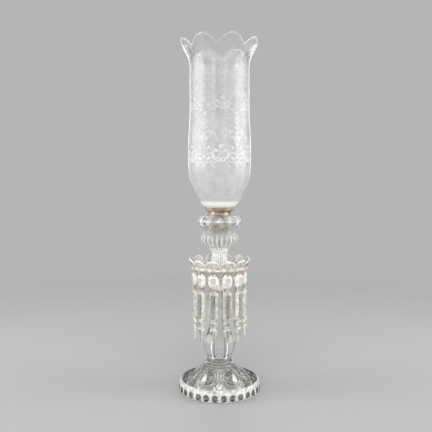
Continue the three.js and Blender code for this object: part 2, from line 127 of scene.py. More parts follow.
class Shader(Tree):
    def place(self):
        return self.node("ShaderNodeTexCoord", output="Object")

    # Distance from the axis, height, x and y in metres
    def aroundAxis(self):
        x, y, z = self.split(self.place())
        return (x * x + y * y).maths("SQRT"), z, x, y

    def wear(self):
        return self.node("ShaderNodeAttribute", {"attribute_name": "wear"}, output="Fac")

    def step(self, value, low, high):
        smooth = {"interpolation_type": "SMOOTHSTEP"}
        return self.node("ShaderNodeMapRange", smooth, [value, low, high, 0.0, 1.0])

    def ramp(self, value, *ends):
        return self.node("ShaderNodeMapRange", None, [value, *ends])

    def noise(self, scale, detail=3.0, rough=0.55, where=None):
        return self.node("ShaderNodeTexNoise", None, {
            "Vector": where or self.place(), "Scale": scale, "Detail": detail, "Roughness": rough})

    def mix(self, factor, *colours):
        first, second = ((*c, 1) if isinstance(c, tuple) else c for c in colours)
        return self.node("ShaderNodeMix", {"data_type": "RGBA"}, {0: factor, 6: first, 7: second}, output=2)

    def bump(self, height, strength, distance):
        return self.node("ShaderNodeBump", None, {
            "Height": height, "Strength": strength, "Distance": distance})

    def principled(self, colour, rough, others):
        return self.node("ShaderNodeBsdfPrincipled", None, {
            "Base Color": colour, "Roughness": rough, **others})

    def glass(self, colour, rough, ior, through, others={}):
        return self.principled(colour, rough, {"IOR": ior, "Transmission Weight": through, **others})

    # Ends the material with one surface, or with a factor and the two surfaces that it mixes
    def finish(self, *surfaces):
        surface = self.node("ShaderNodeMixShader", None, surfaces) if len(surfaces) == 3 else surfaces[0]
        self.node("ShaderNodeOutputMaterial", None, {"Surface": surface})


def newMaterial(name, colour, rough, metal=0.0):
    material = bpy.data.materials.new(name)
    material.use_nodes = True
    material.diffuse_color, material.roughness, material.metallic = (*colour, 1.0), rough, metal
    return material, Shader(material.node_tree)


# A geometry tree with these named inputs, whose fields are in inputs
class Growth(Tree):
    def __init__(self, name, kinds):
        super().__init__(bpy.data.node_groups.new(name, "GeometryNodeTree"))
        sockets = self.inner.interface
        sockets.new_socket("Geometry", in_out="OUTPUT", socket_type="NodeSocketGeometry")
        for label, kind in kinds.items():
            sockets.new_socket(label, in_out="INPUT", socket_type="NodeSocket" + kind)
        outputs = self.node("NodeGroupInput").socket.node.outputs
        self.inputs = [Field(self, outputs[label]) for label in kinds]

    def geometryOf(self, given):
        return self.node("GeometryNodeObjectInfo", None, {"Object": given}, output="Geometry")

    def position(self):
        return self.node("GeometryNodeInputPosition")

    # Moves the points, and smooths the shading
    def moved(self, geometry, place, mergeWithin=0):
        bent = self.node("GeometryNodeSetPosition", None, {"Geometry": geometry, "Position": place})
        if mergeWithin:
            bent = self.node("GeometryNodeMergeByDistance", None, {"Geometry": bent, "Distance": mergeWithin})
        return self.node("GeometryNodeSetShadeSmooth", None, {"Geometry": bent, "Shade Smooth": True})

    def finish(self, geometry, material):
        real = self.node("GeometryNodeRealizeInstances", None, [geometry])
        painted = self.node("GeometryNodeSetMaterial", None, {"Geometry": real, "Material": material})
        self.node("NodeGroupOutput", None, [painted])
        return self.inner


def evaluated(piece):
    return bpy.data.meshes.new_from_object(piece.evaluated_get(bpy.context.evaluated_depsgraph_get()))


# Runs a tree with these inputs and returns its result as a plain mesh object at the origin
def grow(name, group, given):
    holder = placed(name, bpy.data.meshes.new(name))
    modifier = holder.modifiers.new("grow", "NODES")
    modifier.node_group = group
    for item in group.interface.items_tree:
        if item.in_out == "INPUT" and item.name in given:
            modifier[item.identifier] = given[item.name]
    mesh = evaluated(holder)
    holder.modifiers.clear()
    holder.data = mesh
    mesh.name = name
    return holder


# Meshes

def smoothStep(value, low, high):
    share = np.clip((value - low) / (high - low), 0, 1)
    return share * share * (3 - 2 * share)


# 1 between full and fade, 0 outside rise and end
def band(value, rise, full, fade, end):
    return smoothStep(value, rise, full) * (1 - smoothStep(value, fade, end))


# 1 where the value is 0, and 0 from half on
def peak(value, half):
    return np.clip(1 - np.abs(value) / half, 0, 1)


# A circle's upper half, for a value that runs from -1 to 1
def arch(value):
    return np.sqrt(np.clip(1 - value ** 2, 0, 1))


# Points on a smooth curve through the knots, about one every spacing millimetres
def flow(knots, spacing=1.5):
    knots = [np.array(k, float) for k in knots]
    ends = [2 * knots[0] - knots[1], *knots, 2 * knots[-1] - knots[-2]]
    made = []
    for before, start, end, after in zip(ends, ends[1:], ends[2:], ends[3:]):
        times = [0.0]
        for a, b in ((before, start), (start, end), (end, after)):
            times.append(times[-1] + max(math.sqrt(np.linalg.norm(b - a)), 1e-6))
        count = max(2, int(np.linalg.norm(end - start) / spacing) + 1)
        for t in np.linspace(times[1], times[2], count, endpoint=False):
            def along(p, q, i, j):
                low, high = times[i], times[j]
                return (high - t) / (high - low) * p + (t - low) / (high - low) * q
            first, second = along(before, start, 0, 1), along(start, end, 1, 2)
            third = along(end, after, 2, 3)
            made.append(along(along(first, second, 0, 2), along(second, third, 1, 3), 1, 2))
    return [*made, knots[-1]]


# The same outline with no stretch longer than spacing
def dense(points, spacing):
    made = [np.array(points[0], float)]
    for start, end in zip(points, points[1:]):
        start, end = np.array(start, float), np.array(end, float)
        count = max(1, math.ceil(np.linalg.norm(end - start) / spacing))
        made += [start + (end - start) * (i + 1) / count for i in range(count)]
    return made


# A point at its own shares of the way between two radii and between two heights
def between(fromRadius, toRadius, radiusShare, fromHeight, toHeight, heightShare):
    return [fromRadius + (toRadius - fromRadius) * radiusShare,
            fromHeight + (toHeight - fromHeight) * heightShare]


def offsetInward(outline, wall):
    outline = np.array(outline, float)
    along = np.gradient(outline, axis=0)
    along /= np.linalg.norm(along, axis=1)[:, None]
    return outline + wall * np.stack([-along[:, 1], along[:, 0]], axis=1)


# Turns the faces outward and keeps edges sharper than the angle
def recalculate(mesh, edgeAngle, *changes):
    work = bmesh.new()
    work.from_mesh(mesh)
    for change in changes:
        change(work)
    bmesh.ops.recalc_face_normals(work, faces=work.faces)
    work.to_mesh(mesh)
    work.free()
    mesh.shade_smooth()
    mesh.set_sharp_from_angle(angle=math.radians(edgeAngle))


def meshObject(name, points, faces, edgeAngle=35, wear=None):
    mesh = bpy.data.meshes.new(name)
    mesh.from_pydata([tuple(p) for p in np.array(points) * mm], [], faces)
    if wear is not None:
        marks = mesh.attributes.new("wear", "FLOAT", "POINT").data
        marks.foreach_set("value", np.array(wear, np.float32).ravel())
    recalculate(mesh, edgeAngle,
                lambda work: bmesh.ops.remove_doubles(work, verts=work.verts, dist=1e-6),
                lambda work: bmesh.ops.dissolve_degenerate(work, edges=work.edges, dist=1e-7))
    return placed(name, mesh)


# A form turned about Z from a [radius, height] outline. reshape may move its points and say where light and
# shade are painted on it.
def turned(name, outline, steps, reshape=None, edgeAngle=35, foot=0):
    outline = np.array(outline, float)
    flat = np.zeros((steps, len(outline)))
    turn = np.arange(steps)[:, None] * turnFull / steps + flat
    radius, height, wear = outline[:, 0] + flat, outline[:, 1] + flat, None
    if reshape:
        turn, radius, height, wear = reshape(turn, radius, height)
    points = np.stack([radius * np.sin(turn), -radius * np.cos(turn), height], axis=-1).reshape(-1, 3)
    rows = len(outline)
    faces = []
    for i in range(steps):
        near, far = i * rows, (i + 1) % steps * rows
        faces += [(near + j, far + j, far + j + 1, near + j + 1) for j in range(rows - 1)]
    piece = meshObject(name, points, faces, edgeAngle, wear)
    if foot:
        piece.data.transform(Matrix.Translation((0, 0, foot * mm)))
    return piece


# Drills round holes centred on these points, along Z or across along Y
def drill(piece, points, radius, depth, segments, across=False):
    work = bmesh.new()
    for point in points:
        verts = bmesh.ops.create_cone(work, cap_ends=True, segments=segments, radius1=radius * mm,
                                      radius2=radius * mm, depth=depth * mm)["verts"]
        if across:
            bmesh.ops.rotate(work, verts=verts, cent=(0, 0, 0), matrix=Matrix.Rotation(math.pi / 2, 3, "X"))
        bmesh.ops.translate(work, verts=verts, vec=[v * mm for v in point])
    mesh = bpy.data.meshes.new("drill")
    work.to_mesh(mesh)
    work.free()
    cut = piece.modifiers.new("cut", "BOOLEAN")
    cut.operation, cut.solver, cut.object = "DIFFERENCE", "EXACT", placed("drill", mesh)
    drilled = evaluated(piece)
    bpy.data.objects.remove(cut.object)
    piece.modifiers.clear()
    piece.data = drilled


def finishPiece(piece, material, slotName, body, *nodes):
    piece.data.materials.clear()
    piece.data.materials.append(material)
    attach(piece, body)
    if nodes:
        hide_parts(*nodes)


# Glass: clear inside, whitened where it is ground and where the mesh paints a highlight on it, and tinted
# dark where the mesh paints shade

glassLook = {
    "clearLow": (0.965, 0.97, 0.95), "clearHigh": (0.945, 0.955, 0.925), "straw": (0.955, 0.945, 0.875),
    # The dark colour after cream is the tint of painted shade
    "cream": (0.97, 0.945, 0.865), "hollow": (0.13, 0.125, 0.12), "speck": (0.43, 0.36, 0.25),
    "rippleScale": 46.0, "rippleDepth": 0.00018, "smearScale": 190.0, "grainScale": 700.0,
    "rippleStrength": 0.35, "mottle": (0.36, 0.64, 0.55, 1.15), "rough": (0.35, 0.75, 0.01, 0.06),
    "frostThrough": 0.35, "frostRough": 0.3, "frostSpread": 0.2, "frostBump": (0.4, 0.0001), "mostHaze": 0.96,
    # The clot and speck entries: painted glow under the pan, mottled by clots, with specks of painted shadow
    "clotScale": 150.0, "clotShare": 0.55, "clotEdge": (0.38, 0.6),
    "speckScale": 210.0, "speckShare": 0.75, "speckEdge": (0.605, 0.67),
}


def glassWithPaintedLight(name, low, high, ior, bloom, highlightShare, white=(0.94, 0.94, 0.92), ripple=1.0, glowBelow=None):
    look = values(glassLook)
    material, shader = newMaterial(name, high, 0.03)
    smear = shader.noise(look.smearScale)
    grain = shader.noise(look.grainScale, 2.0, 0.6)
    mark = shader.wear()
    # Above 0 the painted light whitens the glass as a painted highlight; below 0 it tints the glass dark as
    # painted shade
    polishAndHighlight, hollow = mark.maths("MAXIMUM", 0.0), (mark * -1.0).maths("MAXIMUM", 0.0).maths("MINIMUM", 1.0)
    haze = bloom * (0.5 + smear) + polishAndHighlight * highlightShare * shader.ramp(smear, *look.mottle) * (0.8 + 0.4 * grain)
    tint = shader.mix(smear, low, high)
    pale = shader.mix(grain, white, tuple(min(1.04 * c, 1) for c in white))
    if glowBelow:  # whitened below this height by this share as a painted glow, mottled, with dark specks painted in as shadowed gaps
        edge, share = glowBelow
        clot = shader.step(shader.noise(look.clotScale, 2.0, 0.5), *look.clotEdge)
        below = 1 - shader.step(shader.aroundAxis()[1], edge - 0.002, edge)
        haze = haze + below * share * (look.clotShare + look.clotShare * clot)
        speck = shader.step(shader.noise(look.speckScale, 1.0, 0.4), *look.speckEdge) * look.speckShare
        tint, pale = shader.mix(speck, tint, look.speck), shader.mix(speck, pale, look.speck)
    swell = shader.noise(look.rippleScale, 2.0, 0.45)
    wave = shader.bump(swell, look.rippleStrength * ripple, look.rippleDepth)
    clear = shader.glass(shader.mix(hollow, tint, look.hollow), shader.ramp(smear, *look.rough), ior, 1.0, {
        "Normal": wave})
    frost = shader.glass(pale, look.frostRough + look.frostSpread * grain, ior, look.frostThrough, {
        "Normal": shader.bump(grain, *look.frostBump)})
    shader.finish(haze.maths("MINIMUM", look.mostHaze), clear, frost)
    return material


shadeLook = {
    "white": (0.955, 0.955, 0.945), "clear": (0.975, 0.98, 0.975), "clearRough": 0.09, "frostRough": 0.42,
    "hazeTop": 0.540, "hazeFade": 0.038, "hazeLow": 0.31, "hazeHigh": 0.45, "hazeLeast": 0.06,
    "flareHaze": 0.16,
    "streakStretch": (95.0, 7.0), "streakShare": 0.16, "speckScale": 620.0, "patchScale": 70.0,
    "fleckScale": 210.0, "fleckShare": 0.12, "fleckBand": (0.345, 0.365, 0.495, 0.515), "groundTop": 0.306,
    "grainShare": 0.28, "markShare": 0.9, "mostHaze": 0.97, "through": 0.2, "bump": (0.5, 0.00012),
}


# The shade's outer face: clear under the scallops, softly etched below them, and ground at the fitter. The
# band at the fitter and the rim are whitened further as painted highlights.
def etchedGlass():
    look = values(shadeLook)
    material, shader = newMaterial("etchedShadeGlass", look.white, 0.2)
    height, x, y = shader.aroundAxis()[1:]
    speck = shader.noise(look.speckScale, 2.0, 0.6)
    grain = shader.step(speck, 0.42, 0.62)
    body = 1 - shader.step(height, look.hazeTop - look.hazeFade, look.hazeTop)
    sideways, upward = look.streakStretch
    streak = shader.noise(1.0, where=shader.vector(x * sideways, y * sideways, height * upward))
    rise, full, fade, end = look.fleckBand
    fleck = shader.step(shader.noise(look.fleckScale, 2.0, 0.5), 0.5, 0.62)
    fleck = fleck * shader.step(height, rise, full) * (1 - shader.step(height, fade, end))
    amount = shader.ramp(shader.noise(look.patchScale), 0.3, 0.7, look.hazeLow, look.hazeHigh)
    amount = amount + (streak - 0.5) * look.streakShare + fleck * look.fleckShare
    # The band at the fitter is whitened as ground glass and further as a painted highlight
    groundAndHighlight = 1 - shader.step(height, look.groundTop - 0.003, look.groundTop + 0.004)
    flare = (1 - body) * look.flareHaze * shader.step(streak, 0.35, 0.65)
    haze = amount * (1 - look.grainShare + look.grainShare * grain) * body + flare
    haze = haze + shader.wear() * look.markShare + groundAndHighlight * look.markShare + look.hazeLeast
    clear = shader.glass((*look.clear, 1), look.clearRough, 1.5, 1.0)
    frost = shader.glass((*look.white, 1), look.frostRough, 1.5, look.through, {
        "Normal": shader.bump(speck, *look.bump)})
    shader.finish(haze.maths("MINIMUM", look.mostHaze), clear, frost)
    return material


def ornamentGlass():
    material, shader = newMaterial("ornamentFrost", (0.95, 0.95, 0.94), 0.5)
    grain = shader.noise(1100.0, 2.0, 0.6)
    tone = shader.mix(grain, (0.97, 0.97, 0.96), (0.9, 0.905, 0.895))
    frost = shader.glass(tone, 0.5 + 0.2 * grain, 1.5, 0.15, {"Normal": shader.bump(grain, 0.6, 0.0001)})
    clear = shader.node("ShaderNodeBsdfTransparent")
    shader.finish(0.35 + 0.6 * shader.step(grain, 0.35, 0.6), clear, frost)
    return material


# Polished colour, dull colour, roughness, and where they differ metal, scale of the blotches and their edge
brassLook = {
    "agedBrass": ((0.68, 0.55, 0.41), (0.33, 0.25, 0.19), 0.3),
    "cupBrass": ((0.69, 0.55, 0.42), (0.12, 0.075, 0.05), 0.34, 1.0, 190.0, (0.45, 0.55)),
    "pinBrass": ((0.6, 0.47, 0.31), (0.24, 0.17, 0.11), 0.28),
    "linkBrass": ((0.82, 0.74, 0.6), (0.5, 0.42, 0.31), 0.3),
    "paleFitting": ((0.86, 0.84, 0.79), (0.74, 0.72, 0.67), 0.4, 0.3),
}
brassGrain = {
    "lathe": (500.0, 2600.0), "spotScale": 95.0, "spotShare": 0.6, "dullRough": 0.22, "latheRough": 0.06,
    "dullMetal": 0.25, "bump": (0.22, 0.00012),
}


def agedBrass(name, polish, dull, rough, metal=1.0, blotches=28.0, edge=(0.38, 0.62)):
    grain = values(brassGrain)
    material, shader = newMaterial(name, polish, rough, metal)
    radius, height = shader.aroundAxis()[:2]
    blotch = shader.noise(blotches, 3.0, 0.5)
    across, upward = grain.lathe
    lines = shader.noise(1.0, 4.0, 0.6, shader.vector(radius * across, height * upward, blotch * 2.0))
    spots = shader.noise(grain.spotScale, 5.0, 0.65)
    polishAndHighlight = shader.step(spots * grain.spotShare + blotch * (1 - grain.spotShare), *edge)
    matt = rough + grain.dullRough * (1 - polishAndHighlight) + grain.latheRough * lines
    shader.finish(shader.principled(shader.mix(polishAndHighlight, dull, polish), matt, {
        "Metallic": metal - grain.dullMetal * metal * (1 - polishAndHighlight), "Normal": shader.bump(lines, *grain.bump)}))
    return material


def feltMaterial():
    material, shader = newMaterial("feltWasher", (0.8, 0.78, 0.7), 0.95)
    fibre = shader.noise(1500.0, 4.0, 0.7)
    shader.finish(shader.principled(shader.mix(fibre, (0.72, 0.7, 0.62), (0.88, 0.86, 0.79)), 0.95, {
        "Sheen Weight": 0.3, "Normal": shader.bump(fibre, 0.7, 0.0003)}))
    return material


# Pressed base: foot, dome of medallions and six-sided stem

baseSizes = {
    "steps": 360, "footRadius": 66.2, "rimHeight": 19.8, "rimTopRadius": 62.2, "scallop": 0.8,
    "restOuter": 64.0, "restInner": 52.2, "recess": 1.2, "grooveRadius": 55.5, "grooveHeight": 13.0,
    "collarRadius": 23.4, "collarHeight": 42.5,
    "thumbprints": 30, "thumbRadius": 4.8, "thumbDepth": 1.7, "thumbHeight": 7.8,
    "medallions": 6, "medallionRadius": 37.6, "lensRadius": 12.0, "lensRise": 3.3, "tilt": 45.0,
    "rings": ((13.9, 1.25, 1.5), (17.3, 1.35, 1.7)),  # radius, half width, rise
    "stemSides": 6, "stemFootRadius": 19.4, "stemFootHeight": 55.0, "bulgeRadius": 26.6, "bulgeHeight": 76.0,
    "waistRadius": 15.4, "waistDrop": 55.4, "knopRadius": 20.8, "knopDrop": 32.4, "knopHalf": 8.5,
    "neckRadius": 11.6, "neckDrop": 16.4, "seatRadius": 15.0, "seatDepth": 4.0,
    "edgeRound": 0.975, "socketClear": 0.3,
    "patternEdge": (18.5, 20.5), "lensDark": (7.5, 10.5), "ringGap": (10.5, 12, 18, 19.5),
}


def baseOutline(s, top, socketRadius, socketDepth):
    waistHeight, knopHeight, neckHeight = top - s.waistDrop, top - s.knopDrop, top - s.neckDrop
    f, rim, crown, rest = s.footRadius, s.rimHeight, s.rimTopRadius, s.restInner
    foot = dense([[0, s.recess], [rest - 1, s.recess], [rest, 0.15], [rest + 0.3, 0], [s.restOuter, 0]], 14)
    edge = flow([[s.restOuter, 0], [f - 0.6, 1.0], [f, 3.4], [f, 0.5 * rim], [f - 0.9, 0.68 * rim],
                 [crown + 1.9, 0.9 * rim], [crown, rim], [crown - 2.2, rim - 1.3]], 0.8)
    g, low = s.grooveRadius, s.grooveHeight
    groove = flow([edge[-1], [g + 1.5, low + 1.0], [g - 0.8, low - 0.1], [g - 3.4, low + 0.9]], 1.0)
    c, h, r, start = s.collarRadius, s.collarHeight, s.stemFootRadius, s.stemFootHeight
    dome = dense([groove[-1], [c + 0.6, h - 0.4]], 0.8)
    collar = flow([[c + 0.6, h - 0.4], [c + 0.5, h + 1.2], [c - 0.6, h + 2.8], [r + 1.7, h + 3.7],
                   [r + 1.9, h + 4.6], [r + 2.3, h + 6.2], [r + 1.5, h + 7.7], [r + 0.4, h + 8.6],
                   [r + 0.4, h + 9.6], [r, start]], 0.6)
    b, bulge, w = s.bulgeRadius, s.bulgeHeight, s.waistRadius
    shaft = flow([
        [r, start], between(r, b, 0.58, start, bulge, 0.38), [b, bulge],
        between(b, w, 0.5, bulge, waistHeight, 0.33), between(b, w, 0.91, bulge, waistHeight, 0.62),
        [w - 0.6, waistHeight], [w, knopHeight - s.knopHalf],
    ], 1.6)
    k, n, seat, under = s.knopRadius, s.neckRadius, s.seatRadius, top - s.seatDepth
    knop = flow([
        [w, knopHeight - s.knopHalf], [k - 1.2, knopHeight - 5.2], [k, knopHeight - 1.6],
        [k - 0.3, knopHeight + 2.2], [k - 2.6, knopHeight + 5.4], [n + 2.2, knopHeight + s.knopHalf],
        [n, neckHeight], [n + 0.6, top - 1.75 * s.seatDepth], [seat - 0.9, under - 0.3],
        [seat, under + 1.0], [seat, top - 0.6], [seat - 0.6, top],
    ], 0.9)
    hole, floor = socketRadius + s.socketClear, top - socketDepth - 2 * s.socketClear
    return [*foot[:-1], *edge[:-1], *groove[:-1], *dome[:-1], *collar[:-1], *shaft[:-1], *knop,
            [hole, top], [hole, floor], [0, floor]]


def baseReshape(s, top):
    def reshape(turn, radius, height):
        half = math.pi / s.stemSides
        rise = smoothStep(height, s.stemFootHeight - 2, s.stemFootHeight + 9)
        fade = 1 - smoothStep(height, top - s.neckDrop, top - s.seatDepth - 1)
        inside = radius <= 8  # the socket stays round
        fromPanel = (turn + half) % (2 * half) - half
        flat = np.minimum(math.cos(half) / np.cos(fromPanel), s.edgeRound)
        radius = np.where(inside, radius, radius * (1 + (flat - 1) * rise * fade))

        # Thumbprints round the rim, tinted dark inside as painted shade, with a painted highlight round each
        step = turnFull / s.thumbprints
        across = ((turn / step) % 1 - 0.5) * step * s.footRadius
        away = (across ** 2 + (height - s.thumbHeight) ** 2) / s.thumbRadius ** 2
        onRim = smoothStep(radius, s.rimTopRadius + 0.3, s.rimTopRadius + 1.6)
        dip = s.thumbDepth * np.clip(1 - away, 0, 1) ** 0.75
        wear = onRim * (0.8 * smoothStep(away, 1.0, 1.35) - 0.9 * (1 - smoothStep(away, 0.78, 0.98)))
        # Painted highlights on the rim's top, the stem's panel edges, its two rings and its neck, with
        # painted shade beside the panel edges
        onTop = smoothStep(radius, s.rimTopRadius - 1.4, s.rimTopRadius) * (height > s.rimHeight - 1.6)
        wear = wear + 0.7 * onTop * (1 - onRim)
        offPanel = np.abs(fromPanel) / half
        ridge = 0.9 * smoothStep(offPanel, 0.84, 0.98) - 0.45 * band(offPanel, 0.56, 0.7, 0.76, 0.84)
        wear = wear + np.where(inside, 0, ridge * rise * fade)
        for ring in (s.collarHeight + 1.0, s.collarHeight + 6.2):
            wear = wear + 0.5 * peak(height - ring, 1.1) * (radius > s.stemFootRadius)
        neckTop = top - s.neckDrop - 1
        wear = wear + np.where(inside, 0, 0.8 * smoothStep(height, neckTop - 6, neckTop))
        valley = s.scallop * np.abs(np.cos(0.5 * turn * s.thumbprints)) ** 3
        radius = radius - onRim * (dip + valley)

        # Medallions on the dome: a lens and two rings, raised square to the slope. The rings carry painted
        # highlights; the lens centre, the gap between the rings and the groove carry painted shade.
        tilt = math.radians(s.tilt)
        slope = (s.collarHeight - s.grooveHeight) / (s.grooveRadius - 2.5 - s.collarRadius)
        middle = s.collarHeight - slope * (s.medallionRadius - s.collarRadius)
        sector = turnFull / s.medallions
        centre = (np.floor(turn / sector) + 0.5) * sector
        side, out = radius * np.sin(turn - centre), radius * np.cos(turn - centre)
        down = (out - s.medallionRadius) * math.cos(tilt) + (middle - height) * math.sin(tilt)
        away = np.hypot(side, down)
        onDome = smoothStep(height, s.grooveHeight + 0.2, s.grooveHeight + 1.5) * (radius < s.grooveRadius)
        onDome = onDome * (height < s.collarHeight)
        lift = s.lensRise * np.clip(1 - (away / s.lensRadius) ** 2, 0, 1) ** 0.8
        pattern = 0.12 * smoothStep(away, *s.patternEdge) - 0.35 * (1 - smoothStep(away, *s.lensDark))
        pattern = pattern - 0.25 * band(away, *s.ringGap)
        for ringRadius, halfWidth, ringRise in s.rings:
            near = peak(away - ringRadius, halfWidth)
            lift = lift + ringRise * np.sin(0.5 * math.pi * near) ** 1.2
            pattern = pattern + 0.95 * near
        lift = lift * onDome
        onGroove = (radius < s.rimTopRadius - 1.5) * (radius > s.grooveRadius - 4)
        onGroove = onGroove * (height < s.rimHeight - 0.8) * (height > s.grooveHeight - 0.5)
        wear = wear + pattern * onDome - 0.4 * onGroove
        out, height = out + lift * math.sin(tilt), height + lift * math.cos(tilt)
        return centre + np.arctan2(side, out), np.hypot(side, out), height, wear
    return reshape


def makeBase(glass):
    s = values(baseSizes)
    top = headOf("pressed_base")
    low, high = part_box("stem_socket")
    outline = baseOutline(s, top, high.x / mm, (high.z - low.z) / mm)
    piece = turned("pressedBase", outline, s.steps, baseReshape(s, top), 32)
    finishPiece(piece, glass, "clear_glass", "base_body", "pressed_base")


# Bobeche: saucer, ledge and crown of petals

panSizes = {
    "steps": 288, "hole": 7.5, "hub": 16.5, "hubThickness": 6.0, "hang": 41.5,
    "ledgeHalf": 2.8, "ledgeThickness": 4.0, "ledgeHeight": 14.0,
    "petals": 12, "tipRadius": 50.0, "petalHeight": 13.4, "notch": 0.16, "phase": -28.0, "pinHole": 0.85,
    "tipWorn": (0.68, 0.88),  # shares of the petal's height between which its tip is whitened as a painted highlight
}


def panOutline(s):
    inner, outer = s.hang - s.ledgeHalf, s.hang + s.ledgeHalf - 0.4
    low, top = s.ledgeHeight, s.ledgeHeight + s.ledgeThickness
    tip, rise, hub, thick = s.tipRadius, s.petalHeight, s.hub, s.hubThickness
    under = flow([[hub, 0], [hub + 5, 2.0], [inner - 6, low - 3.4], [inner - 0.6, low]], 1.2)
    rim = flow([[outer, low], [outer + 1.5, low + 0.7], [outer + 2.4, top - 1.0],
                [0.5 * (outer + 2.4 + tip - 1), top + 0.28 * rise], [tip - 1, top + 0.6 * rise],
                [tip, top + 0.86 * rise], [tip - 0.1, top + 0.96 * rise], [tip - 0.7, top + rise],
                [tip - 1.4, top + 0.96 * rise], [tip - 1.9, top + 0.84 * rise], [tip - 3.2, top + 0.6 * rise],
                [0.5 * (outer + 0.5 + tip - 3.2), top + 0.3 * rise], [outer + 0.5, top + 1],
                [outer - 0.8, top]], 0.7)
    over = flow([[inner, top], [inner - 5.5, top - 3.2], [hub + 5.5, thick + 2.2], [hub, thick]], 1.2)
    return [[s.hole, 0], *dense([[s.hole, 0], [hub, 0]], 3)[1:-1], *under, *rim,
            *dense([rim[-1], [inner, top]], 1.2)[1:-1], *over, [s.hole, thick], [s.hole, 0]]


def panReshape(s):
    outer, top, rise = s.hang + s.ledgeHalf - 0.4, s.ledgeHeight + s.ledgeThickness, s.petalHeight
    step = turnFull / s.petals

    def reshape(turn, radius, height):
        across = 2 * ((turn / step) % 1) - 1
        share = s.notch + (1 - s.notch) * arch(across)
        above = height > top
        spoon = 1.0 * np.clip(1 - (across / 0.8) ** 2, 0, 1) * smoothStep(height, top + 2, top + 8)
        spoon = spoon * (1 - smoothStep(height, top + 0.8 * rise, top + 0.97 * rise))
        inside = radius < outer + (height - top) * 0.4
        # Painted light: highlights on the petal tips and in a wave round the ledge, painted shade in the gaps
        # between the petals and between the ledge's highlights
        wear = smoothStep(height, top + s.tipWorn[0] * rise, top + s.tipWorn[1] * rise)
        ledge = (radius > outer - 1.5) * (1 - smoothStep(height, top + 0.5, top + 2.5))
        wear = wear + ledge * (0.12 - 0.3 * np.cos(turnFull * across))
        wear = wear + 0.1 * smoothStep(height, top + 1.5, top + 3.5) * (wear < 0.05)
        gap = smoothStep(np.abs(across), 0.86, 0.97) * smoothStep(height, top + 1, top + 4)
        wear = wear - 0.35 * gap * (wear < 0.3)
        radius = np.where(above, outer + (radius - outer) * share + np.where(inside, 0.5 * spoon, 0), radius)
        height = np.where(above, top + (height - top) * share, height)
        return turn + math.radians(s.phase), radius, height, wear
    return reshape


def makePan(glass):
    s = values(panSizes)
    foot = footOf("bobeche")
    piece = turned("bobeche", panOutline(s), s.steps, panReshape(s), 32, foot)
    turns = [math.radians(s.phase) + (k + 0.5) * turnFull / s.petals for k in range(s.petals)]
    low, high = foot + s.ledgeHeight - 1, foot + s.ledgeHeight + s.ledgeThickness + 1
    holes = [(s.hang * math.sin(t), -s.hang * math.cos(t), 0.5 * (low + high)) for t in turns]
    drill(piece, holes, s.pinHole, high - low, 16)
    finishPiece(piece, glass, "clear_glass", "pan_body", "bobeche")


# Nozzle: twelve lobes round the lip, twenty-four flutes round the bulge

nozzleSizes = {
    "steps": 288, "footRadius": 16.0, "knobRadius": 14.6, "neckRadius": 11.3, "neckHeight": 30.4,
    "bulgeRadius": 30.2, "bulgeHeight": 53.4, "waistRadius": 23.4, "waistHeight": 67.4,
    "lipRadius": 35.8, "lipHeight": 83.4, "lobes": 12, "lobeDepth": 0.085, "flutes": 24, "fluteDepth": 0.05,
    "arcBelowLip": 3.5, "arcDrop": 6.5, "boreMouth": 17.2, "boreFloor": 14.8, "boreDepth": 42.5,
    "studRadius": 5.2, "studLength": 13.0, "gap": 0.3, "groundTop": 76.5,
}


def nozzleOutline(s, tall):
    n, neck, b, bulge = s.neckRadius, s.neckHeight, s.bulgeRadius, s.bulgeHeight
    w, waist, r, lip = s.waistRadius, s.waistHeight, s.lipRadius, s.lipHeight
    f, k, mouth = s.footRadius, s.knobRadius, s.boreMouth + 4.4
    foot = flow([[f - 0.8, 0], [f, 1.0], [f - 0.2, 2.4], [k - 1.4, 0.2 * neck], [k - 0.5, 0.33 * neck],
                 [k, 0.44 * neck], [k - 0.1, 0.6 * neck], [n + 1.4, 0.82 * neck], [n, neck]], 0.8)
    body = flow([
        [n, neck], between(n, b, 0.19, neck, bulge, 0.23), between(n, b, 0.31, neck, bulge, 0.39),
        between(n, b, 0.74, neck, bulge, 0.59), [b, bulge], between(b, w, 0.36, bulge, waist, 0.53),
        [w, waist], between(w, r, 0.62, waist, lip, 0.42), [r, lip], between(r, mouth, 0.26, lip, tall, 0.6),
        [mouth, tall - 0.5], [s.boreMouth + 1.2, tall],
    ], 0.9)
    floor = tall - s.boreDepth
    bore = [*dense([[s.boreMouth + 0.1, tall - 0.5], [s.boreFloor + 0.5, floor + 2]], 3),
            [s.boreFloor, floor + 0.6], [s.boreFloor - 1, floor], [0, floor]]
    stud, deep = s.studRadius + s.gap, s.studLength + s.gap
    return [[0, deep], [stud, deep], [stud, 0], *foot[:-1], *body, *bore]


